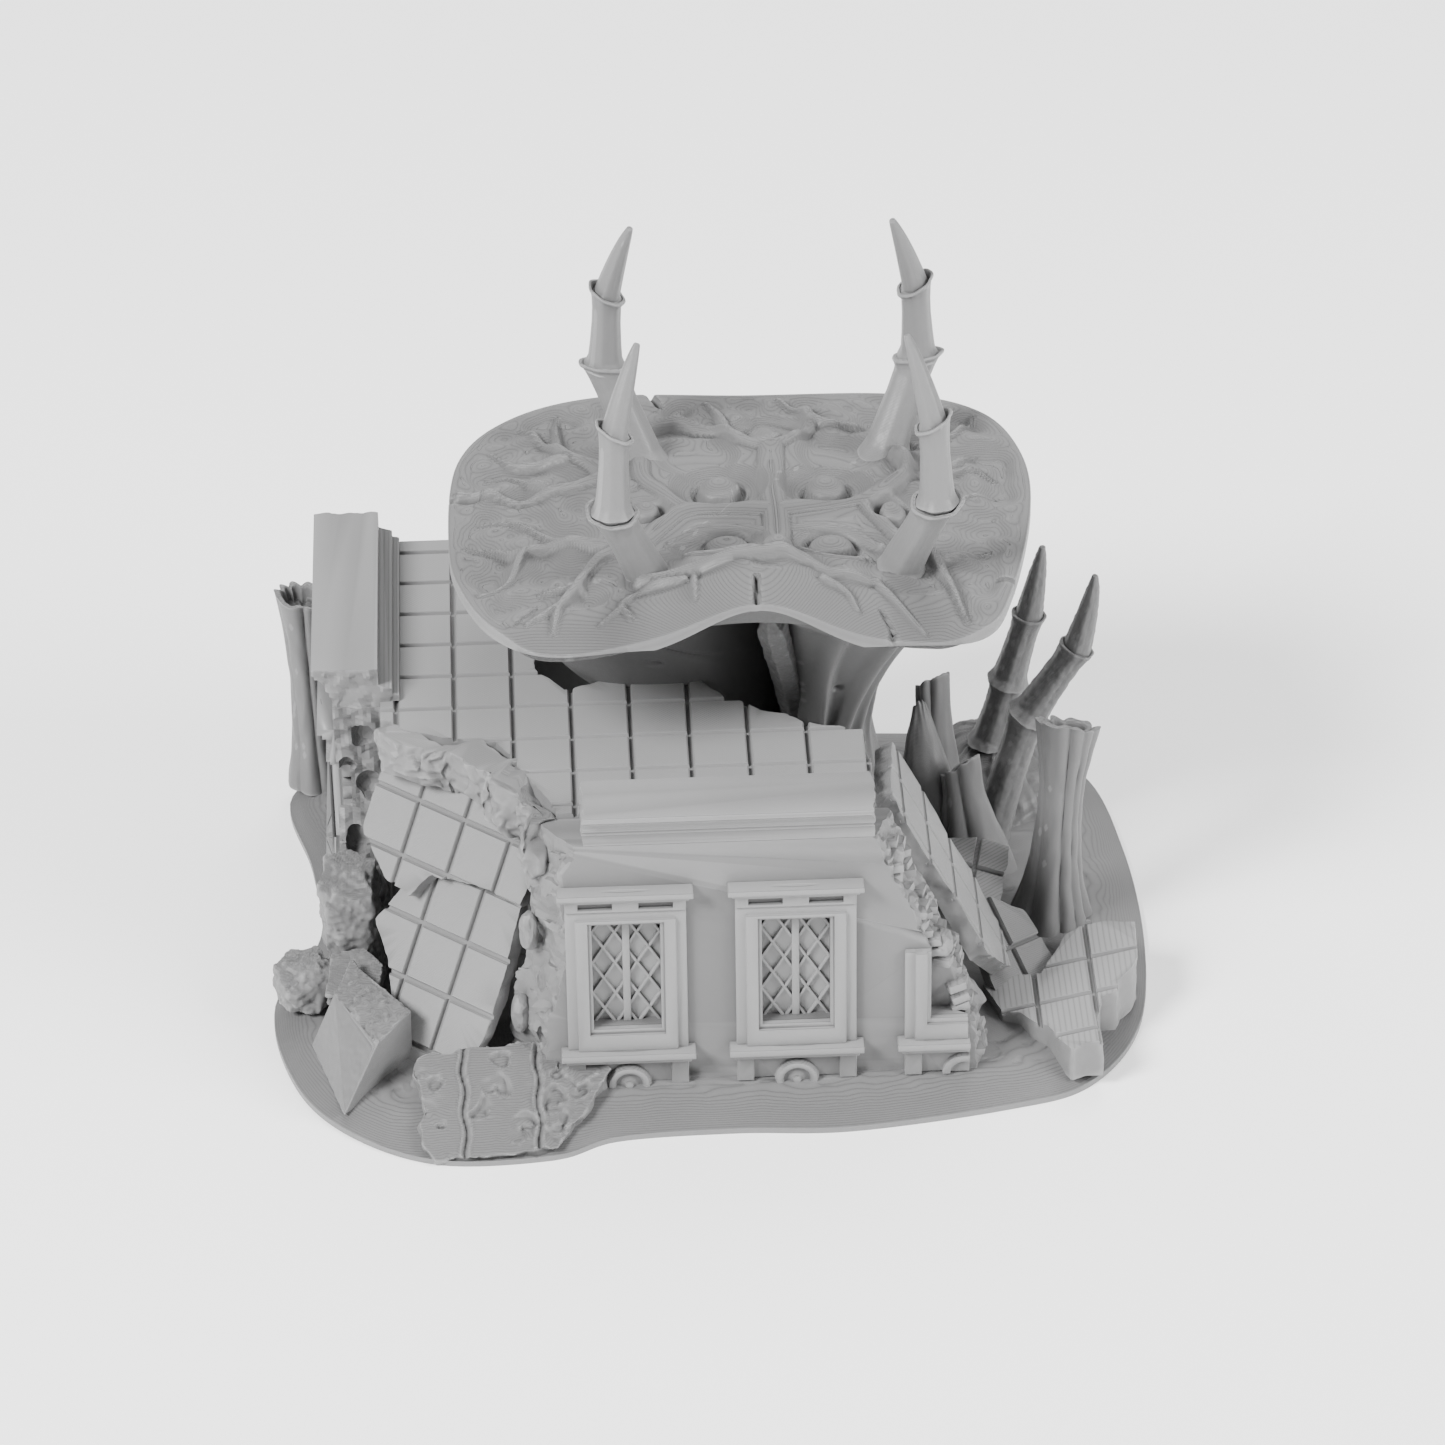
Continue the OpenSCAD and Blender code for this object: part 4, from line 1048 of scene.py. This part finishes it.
def makeSpines():
    corners = [(-1, -1), (1, -1), (1, 1), (-1, 1)]
    for k, (sx, sy) in enumerate(corners):
        points = [(spines["middle"][0] + sx * spread[0], spines["middle"][1] + sy * spread[1],
                   spines["top"] + share * spines["height"]) for spread,
                   share in zip(spines["spread"], spines["shares"])]
        makeSpine(f"padSpine{k + 1}", f"pad_spine_{k + 1}", points, spines["radii"], "growth", 0.5 * sx)
    makeSpine("groundSpineRear", "ground_spine_rear",
              [[47.4, 33.5, 14], [50, 33.5, 25.4], [53.2, 33, 38.4], [55.2, 33, 51.4]],
              [3.0, 2.65, 2.4], "ruin", 0.1, True)
    makeSpine("groundSpineFront", "ground_spine_front",
              [[45.5, 19.5, 3], [52, 19.5, 28], [59.6, 19, 41], [62.3, 19, 54.7]],
              [3.1, 2.75, 2.5], "ruin", 0.1, True)


makeSpines()
print("spines and reeds made")


# Trunk

trunk = {
    "axis": (12.0, 12.0), "low": 4.0, "high": 72.6,
    "rings": [                                 # share of height, main oval, then the fold at its right
        [0, [3, 17], [17, 11], [20, 8], [9, 9]], [0.22, [3, 17], [17, 11], [20, 8], [9, 9]],
        [0.5, [2, 19], [21, 12], [21, 6], [9.5, 12]], [0.63, [1, 20], [23.5, 13], [21, 4.5], [10.5, 14]],
        [0.75, [2, 17.5], [28, 16.5], [22, 3], [13, 16]], [0.86, [3.5, 13], [34, 22], [23, 2], [17, 19]],
        [0.95, [5, 10], [40, 29], [24, 1], [21, 22]], [1, [6, 10], [40, 29], [24, 1], [20, 21]]],
    "wing": [                                  # height, then the oval of the sheet at its left
        [4, [2, 16], [10, 6]], [38, [-1, 12], [17, 10]], [47, [-5.5, 9], [19.5, 10.5]],
        [50.5, [-8.5, 8.5], [20, 11.5]], [57, [-8, 6.5], [22.5, 12]], [65, [-12, 4], [23, 13.5]],
        [72.6, [-11, 5], [25, 19]]],
    "hollow": (-112, 19, 18.0),                # direction, half angle, depth of the dark hollow
    "folds": [(-71, 3, 2.2), (-56, 4.5, 1.8), (-44, 4, 1.3), (-34, 2, 1.0), (-10, 7, 1.4), (200, 9, 1.2),
              (150, 8, 1.4), (120, 10, 1.4), (90, 8, 1.3), (60, 9, 1.4), (30, 8, 1.3)],
    "pits": [(-141, 60, 0.8, 1.0), (-147, 54, 0.7, 0.8), (-31, 52, 0.9, 0.8), (-38, 45, 1.0, 0.6),
             (-66, 52, 0.7, 0.6), (-27, 60, 0.9, 0.8)],
}


def reachOf(centre, half, a):                  # from the axis to the oval's edge in direction a
    ox, oy = (trunk["axis"][0] - centre[0]) / half[0], (trunk["axis"][1] - centre[1]) / half[1]
    dx, dy = np.cos(a) / half[0], np.sin(a) / half[1]
    k, b = dx * dx + dy * dy, ox * dx + oy * dy
    disc = b * b - k * (ox * ox + oy * oy - 1)
    return np.where(disc > 0, (-b + np.sqrt(np.maximum(disc, 0))) / k, 0)


def makeTrunk():
    def oval(rows, part, at):                  # middle and half widths, between the rows on each side
        return [[np.interp(at, [row[0] for row in rows], [row[k][axis] for row in rows]) for axis in (0, 1)]
                for k in (part, part + 1)]

    def place(u, v):
        a = u * 2 * math.pi
        t = np.interp(v, [0, 0.25, 1], [0, 0.5, 1])
        span = 0.035                           # average of nearby heights, so that the flare runs smoothly
        radius = 0
        for shift in (-1, -0.5, 0, 0.5, 1):
            s = np.clip(t + span * shift, 0, 1)
            main = reachOf(*oval(trunk["rings"], 1, s), a)
            fold = reachOf(*oval(trunk["rings"], 3, s), a)
            wing = reachOf(*oval(trunk["wing"], 1, trunk["low"] + s * (trunk["high"] - trunk["low"])), a)
            radius = radius + np.maximum(np.maximum(main, fold), wing) / 5
        z = trunk["low"] + t * (trunk["high"] - trunk["low"])
        degrees = np.degrees(a)

        def off(angle):
            return (degrees - angle + 180) % 360 - 180
        angle, width, depth = trunk["hollow"]
        dent = np.exp(-(off(angle) / width) ** 4) * depth * smoothStep(z, 30, 44)
        radius = radius - dent * (1 - 0.35 * smoothStep(z, 62, 72.6))
        for angle, width, high in trunk["folds"]:
            drift = angle + 2.5 * np.sin(z / 9 + angle)
            swell = high * (np.exp(-(off(drift) / width) ** 2) - 0.35) * smoothStep(z, 20, 40)
            radius = radius + swell * (1 - smoothStep(z, 66, 72))
        for angle, height, size, deep in trunk["pits"]:
            along = np.radians(off(angle)) * radius
            radius = radius - deep * np.exp(-((along ** 2 + (z - height) ** 2) / size ** 2) ** 2)
        crack = np.radians(off(-143) - (58 - z) * 1.6) * radius
        split = 0.8 * np.exp(-(crack / 0.28) ** 2) * smoothStep(z, 50, 51)
        radius = radius - split * (1 - smoothStep(z, 60, 62))
        x = trunk["axis"][0] + radius * np.cos(a)
        y = trunk["axis"][1] + radius * np.sin(a)
        return np.column_stack([x, y, z])
    finishPiece("trunk", rolledGrid(560, 150, place), "growthPlastic", "growth",
                ["trunk", "trunk_neck", "trunk_flare"], sharp=60)


makeTrunk()

horn = {"foot": (14.4, 3.5, 40.5), "tip": (9.4, -12.2, 69.5), "radius": 2.35, "sides": 6}


def makeHorn():                                # a chiselled shaft with a pointed end
    foot, tip = Vector(horn["foot"]), Vector(horn["tip"])
    way = tip - foot
    bm = bmesh.new()
    bmesh.ops.create_circle(bm, cap_ends=True, segments=horn["sides"], radius=horn["radius"])
    face = bm.faces[:][0]
    for step, size in ((0.5, 1.0), (0.38, 1.05), (0.03, 0.9), (0.09, 0.06)):
        grown = bmesh.ops.extrude_face_region(bm, geom=[face])
        verts = vertsOf(grown)
        face = [g for g in grown["geom"] if isinstance(g, bmesh.types.BMFace)][0]
        bmesh.ops.translate(bm, vec=(0, 0, step * way.length), verts=verts)
        middle = face.calc_center_median()
        bmesh.ops.scale(bm, vec=(size, size, 1), verts=verts, space=Matrix.Translation(-middle))
    bmesh.ops.recalc_face_normals(bm, faces=bm.faces)
    bm = remeshed(easeEdges(bm, 0.18, 2, 20), 0.2)
    weather(bm, 0.22, 1.6, 6)
    bmesh.ops.transform(bm, matrix=Matrix.Translation(foot)
                        @ way.to_track_quat("Z", "Y").to_matrix().to_4x4(), verts=bm.verts)
    finishPiece("trunkHorn", bm, "clawPlastic", "growth", ["prong"], sharp=40)


makeHorn()


# Platform

pad = {
    "outline": [[-39, 2], [-37, -11], [-32, -21.5], [-24, -26.5], [-10, -25.5], [6, -26], [28, -26.5],
                [41, -25.5],
                [46.5, -14], [51, 9], [50.5, 25], [45, 37], [32, 43], [8, 44], [-14, 45], [-29, 39],
                [-37.5, 26]],
    "middle": (6, 8), "z": 75.0, "thick": 2.4, "rise": 1.8, "brow": 6.4, "browAt": 7.5, "browWidth": 13,
    # half width and height at the start and the end, then the points
    "veins": [
        (1.7, 1.7, 1.0, 1.2, [[-11, 14], [-13, 16], [-16, 21], [-20.5, 25]]),
        (1.1, 1.2, 0.4, 0.3, [[-20.5, 25], [-23.5, 29], [-27.5, 34.5]]),
        (0.9, 1.0, 0.4, 0.3, [[-21.5, 26], [-22, 33.5], [-21.5, 39.5]]),
        (0.9, 1.0, 0.4, 0.3, [[-20.5, 23.5], [-24.5, 24], [-28.5, 23.5], [-32, 28]]),
        (1.6, 1.6, 0.8, 0.7, [[-13, 18], [-15, 17.5], [-22, 13.5], [-28, 12.5], [-32, 14.5], [-37, 16]]),
        (0.9, 1.0, 0.4, 0.3, [[-22, 14], [-27, 18.5], [-30.5, 22], [-33, 21.5]]),
        (0.8, 0.9, 0.4, 0.3, [[-22, 0.5], [-26, 4], [-28.5, 6.5], [-34, 8]]),
        (1.5, 1.6, 0.9, 1.1, [[-11, -4], [-15, -2.5], [-22, -1], [-25, -1.5], [-28, -3]]),
        (0.9, 1.1, 0.35, 0.3, [[-28, -3], [-32, -0.5], [-36.5, 1]]),
        (0.9, 1.1, 0.35, 0.3, [[-27.5, -3], [-29, -8], [-30.5, -10.5], [-34.5, -12.5]]),
        (1.5, 1.7, 0.7, 0.8, [[-11, -5], [-12.5, -3.5], [-18, -7.5], [-19, -12], [-22.5, -17.5]]),
        (0.8, 0.8, 0.35, 0.3, [[-22.5, -17.5], [-23.5, -23]]),
        (0.8, 0.8, 0.3, 0.3, [[-22.5, -17.5], [-27.5, -21]]),
        (0.8, 0.8, 0.3, 0.3, [[-19, -13], [-25.5, -14]]),
        (0.8, 0.9, 0.5, 0.6, [[-3.5, -16], [-9.5, -14.5], [-13, -18.5]]),
        (0.5, 0.6, 0.3, 0.3, [[-13, -18.5], [-11.5, -21.5]]),
        (0.5, 0.6, 0.3, 0.3, [[-13, -19], [-16.5, -22]]),
        (1.0, 1.1, 1.2, 1.5, [[-10, -13.5], [-2.5, -14.5], [3.5, -15], [11, -14]]),
        (1.2, 1.5, 0.8, 0.8, [[11, -14], [14.5, -14], [19, -15], [25.5, -15.5]]),
        (0.7, 0.8, 0.3, 0.3, [[-2, -15], [-2, -21.5]]),
        (0.8, 0.9, 0.3, 0.3, [[17.5, -18], [21, -19], [22.5, -22.5]]),
        (0.9, 0.9, 0.35, 0.3, [[25.5, -15.5], [29, -21], [32.5, -25.5]]),
        (1.3, 1.6, 0.4, 0.3, [[33, -6], [35, -7.5], [38, -19.5], [39, -24.5]]),
        (0.8, 0.9, 0.3, 0.3, [[36, -8.5], [40.5, -6], [43.5, -4]]),
        (0.8, 0.9, 0.3, 0.3, [[34, 5], [37.5, 7.5], [42, 10.5], [45.5, 10.5]]),
        (0.9, 1.0, 0.3, 0.3, [[34, 17], [38.5, 18], [42.5, 19], [46, 16]]),
        (0.7, 0.8, 0.3, 0.3, [[39.5, 19.5], [43.5, 23.5]]),
        (1.0, 1.1, 0.3, 0.3, [[34, 26], [40, 28], [43, 32], [44, 35]]),
        (2.3, 1.9, 2.1, 1.9, [[11, -12], [11.5, 4], [11, 12], [11.5, 24]]),
        (2.0, 1.9, 1.1, 1.0, [[11.5, 25], [7.5, 27], [5, 31.5], [-2.5, 34], [-6.5, 34]]),
        (1.9, 1.9, 1.1, 1.0, [[11.5, 25], [16.5, 29.5], [18.5, 33.5]]),
        (1.1, 1.0, 0.5, 0.5, [[18.5, 33.5], [17.5, 37], [13.5, 40.5]]),
        (1.2, 1.4, 0.6, 1.0, [[18.5, 33.5], [21.5, 32], [25.5, 32.5]]),
        (1.0, 1.0, 0.5, 0.4, [[5, 31.5], [4, 36.5], [2, 41]]),
        (2.1, 1.8, 1.8, 1.6, [[11.5, 6], [4, 7], [-3, 7], [-6.5, 2], [-9.5, -3]]),
        (1.3, 1.3, 1.6, 1.6, [[-3, 8], [-6, 12.5], [-9, 16], [-9, 21]]),
        (2.1, 1.8, 1.5, 1.6, [[11.5, 6], [20.5, 7.5], [25, 8.5], [29, 11], [33, 17], [31, 21]]),
        (1.2, 1.3, 1.2, 1.3, [[24.5, 8.5], [27, 2.5], [30, -3]]),
        (1.0, 1.1, 0.7, 0.9, [[10, 0], [5, 1.5], [0, 1.5], [-5, -2.5]]),
        (1.0, 1.1, 0.7, 0.9, [[14, 0.5], [18, 1], [23, 0], [27, -4]]),
        (0.7, 0.7, 0.6, 0.7, [[9.5, -8], [3, -9.5], [-3, -9]]),
        (0.7, 0.7, 0.6, 0.7, [[13.5, -8], [20, -9.5], [25, -9]]),
    ],
    "pockets": [(3, 14, 7.4, 6.6, 1.9), (19.5, 13.5, 7.0, 6.2, 1.9), (2.5, -3.5, 7.4, 5.0, 1.6),
                (20.5, -4.5, 7.4, 5.0, 1.6),
                (11, 31, 5.6, 5.8, 1.6), (-8.5, 7.5, 3.6, 3.8, 1.3), (29.5, 5.5, 3.6, 3.8, 1.3),
                (22, 23, 6.4, 6.4, 1.1), (0, 23.5, 6.4, 6.4, 1.1)],
    "domes": [(3, 13.9, 3.4, 3.2, 2.8), (19.5, 13.1, 3.3, 3.1, 2.8), (-8.5, 7.4, 2.3, 2.4, 2.4),
              (29.5, 5.8, 2.3, 2.4, 2.4),
              (3.5, -2.6, 3.6, 2.6, 2.2), (19.5, -3.4, 3.6, 2.6, 2.2), (11, 31, 3.2, 3.2, 2.3)],
    "rings": [(3, 13.5, 3.3, 3.1, 0.25), (19.5, 12.3, 3.2, 3.0, 0.25), (3.5, -3.0, 4.2, 2.8, 0.3),
              (19.5, -4.0, 4.2, 2.8, 0.3),
              (3, 13.5, 4.4, 4.0, 0.2), (19.5, 12.3, 4.2, 3.8, 0.2)],
    "cuts": [([7.3, -19.5], [7.0, -25.5], 0.32, 1.5), ([26, -21.5], [27.5, -25], 0.28, 0.7),
             ([27.5, -25], [27, -28.5], 0.28, 0.7),
             ([-39, 15], [-34, 14.5], 0.35, 1.6), ([-7, 46], [-5.5, 41], 0.4, 1.6),
             ([48, -13.5], [44.5, -12], 0.3, 1.2),
             ([-29, -20.5], [-26, -17], 0.2, 0.4)],
}


def fromSegment(x, y, a, b):                   # share along the segment from a to b, and distance from it
    way = b - a
    t = np.clip(((x - a[0]) * way[0] + (y - a[1]) * way[1]) / (way @ way), 0, 1)
    return t, np.hypot(x - a[0] - t * way[0], y - a[1] - t * way[1])


def roundedBends(p):                           # cut each corner of an open path
    inner = np.stack([p[:-1] * 0.75 + p[1:] * 0.25, p[:-1] * 0.25 + p[1:] * 0.75], 1).reshape(-1, 2)
    return np.concatenate([p[:1], inner, p[-1:]])


def veinHeight(x, y):
    ridge = np.zeros_like(x)
    for w0, h0, w1, h1, points in pad["veins"]:
        p = roundedBends(roundedBends(np.array(points, float)))
        run = lengthsAlong(p)
        for a, b, s0, s1 in zip(p[:-1], p[1:], run[:-1], run[1:]):
            low, high = np.minimum(a, b) - 6, np.maximum(a, b) + 6
            near = (x > low[0]) & (x < high[0]) & (y > low[1]) & (y < high[1])
            t, far = fromSegment(x[near], y[near], a, b)
            s = (s0 + t * (s1 - s0)) / run[-1]
            q = far / (w0 + (w1 - w0) * s)
            crest = 0.55 * np.sqrt(np.clip(1 - q ** 2, 0, 1)) + 0.45 * np.exp(-q ** 2 / 1.6)
            ridge[near] = np.maximum(ridge[near], (h0 + (h1 - h0) * s) * crest)
    return ridge


def padTop(x, y, share, inset):                # height of the platform's upper face
    def oval(cx, cy, rx, ry):
        return ((x - cx) / rx) ** 2 + ((y - cy) / ry) ** 2
    bulge = pad["rise"] * (1 - smoothStep(share, 0.25, 1.0))
    brow = pad["brow"] * np.exp(-((x - pad["browAt"]) / pad["browWidth"]) ** 2) * smoothStep(-y, 3, 14)
    spots = np.column_stack([x, y, np.zeros_like(x)])
    outer = smoothStep(share, 0.45, 0.62) * smoothStep(inset, 0.5, 4.0)
    lip = smoothStep(-y, 15.5, 18) * smoothStep(38 - np.abs(x - 4), 0, 8)
    web = noiseAt(spots, 5.0, 1.5)[:, 0] * 1.9 + noiseAt(spots, 2.2, 2.5)[:, 1] * 0.2
    z = pad["z"] + bulge + brow + outer * (1 - lip) * (web - 0.5)
    for cx, cy, rx, ry, deep in pad["pockets"]:
        z = z - deep * (1 - smoothStep(oval(cx, cy, rx, ry), 0.35, 1.25))
    for cx, cy, rx, ry, high in pad["rings"]:
        z = z + high * np.exp(-((np.sqrt(oval(cx, cy, rx, ry)) - 1) * rx / 0.4) ** 2)
    for cx, cy, rx, ry, high in pad["domes"]:
        d = oval(cx, cy, rx, ry)
        z = z + high * np.sqrt(np.clip(1 - d, 0, 1)) - 0.8 * np.exp(-((np.sqrt(d) - 1.12) * rx / 0.45) ** 2)
    z = np.maximum(z, pad["z"] - 1.2) + veinHeight(x, y) * (0.62 + 1.0 * smoothStep(share, 0.38, 0.6))
    for a, b, half, deep in pad["cuts"]:
        far = fromSegment(x, y, np.array(a), np.array(b))[1]
        z = z - deep * np.exp(-(far / half) ** 2)
    arch = np.exp(-((x - pad["browAt"]) / 11) ** 2)
    # the smooth front lip rolls over to its edge
    roll = (1.7 - 1.2 * arch) * lip * smoothStep(-y, 17, 26.5) ** 2
    return z - roll - 0.35 * np.exp(-inset / 0.7)


def makePad():
    at = walk(closedCurve(pad["outline"], 10))[0]
    middle = np.array(pad["middle"], float)

    def place(u, v):
        edge = at(u)
        reach = np.linalg.norm(edge - middle, axis=1)
        share = np.interp(v, [0, 0.84, 0.86, 0.9, 1], [0, 1, 1, 0.9, 0])
        flat = middle + (edge - middle) * share[:, None]
        inset = (1 - share) * reach
        top = padTop(flat[:, 0], flat[:, 1], share, inset)
        thin = 1.1 * np.exp(-((edge[:, 0] - pad["browAt"]) / 11) ** 2) * (edge[:, 1] < 0)
        under = padTop(edge[:, 0], edge[:, 1], np.ones_like(share),
                       np.zeros_like(share)) - pad["thick"] + 0.2 + thin
        low = pad["z"] - pad["thick"]
        back = smoothStep(share, 0.78, 1.0)
        z = np.where(v <= 0.845, top, low + np.maximum(under - low, 0) * back)
        z = np.where((v > 0.845) & (v < 0.855), (top + under) / 2, z)
        return np.column_stack([flat, z])
    finishPiece("pad", rolledGrid(620, 140, place), "growthPlastic", "growth",
                ["pad", "pad_ridges", "pad_domes"], sharp=62)


makePad()
print("growth made")


# Floor, light and camera

stage = {                                      # lamps: watts, width and place in metres
    "floor": 0.95, "world": 0.76,
    "lamps": {"left": (58.0, 0.55, (-0.95, -0.72, 1.1)), "right": (30.0, 0.7, (1.15, -0.5, 0.75)),
              "back": (10.0, 0.8, (0.15, 0.75, 1.25))},
}


def makeStage():
    bm = bmesh.new()
    bmesh.ops.create_grid(bm, x_segments=1, y_segments=1, size=6.0)
    mesh = bpy.data.meshes.new("floor")
    bm.to_mesh(mesh)
    bm.free()
    floor = bpy.data.objects.new("floor", mesh)
    bpy.context.scene.collection.objects.link(floor)
    paper = bpy.data.materials.new("paper")
    paper.use_nodes = True
    shader = paper.node_tree.nodes["Principled BSDF"]
    shader.inputs["Roughness"].default_value = 0.9
    shader.inputs["Specular IOR Level"].default_value = 0.1
    weave = addNode(paper.node_tree, "ShaderNodeTexNoise", {"Scale": 6.0, "Detail": 6.0})
    colour = addNode(paper.node_tree, "ShaderNodeMapRange",
                     {"Value": weave.outputs[0], "To Min": stage["floor"] - 0.01,
                      "To Max": stage["floor"] + 0.01})
    paper.node_tree.links.new(colour.outputs[0], shader.inputs["Base Color"])
    mesh.materials.append(paper)

    world = bpy.data.worlds.new("studio")
    world.use_nodes = True
    world.node_tree.nodes["Background"].inputs[0].default_value = (1, 1, 1, 1)
    world.node_tree.nodes["Background"].inputs[1].default_value = stage["world"]
    bpy.context.scene.world = world
    for name, (power, size, spot) in stage["lamps"].items():
        lamp = bpy.data.lights.new(name, "AREA")
        lamp.shape, lamp.size, lamp.energy = "DISK", size, power
        light = bpy.data.objects.new(name, lamp)
        light.location = spot
        light.rotation_euler = (-Vector(spot)).to_track_quat("-Z", "Y").to_euler()
        bpy.context.scene.collection.objects.link(light)


makeStage()

viewer = {"place": (-25.811, -827.697, 603.034), "turn": (55.8764, 0.6829, -2.4252), "lens": 159.784}
eye = bpy.data.cameras.new("eye")
eye.lens, eye.sensor_width = viewer["lens"], 36.0
eye.clip_start, eye.clip_end = 0.05, 20.0
camera = bpy.data.objects.new("eye", eye)
camera.location = [c * mm for c in viewer["place"]]
camera.rotation_euler = [math.radians(t) for t in viewer["turn"]]
bpy.context.scene.collection.objects.link(camera)
bpy.context.scene.camera = camera
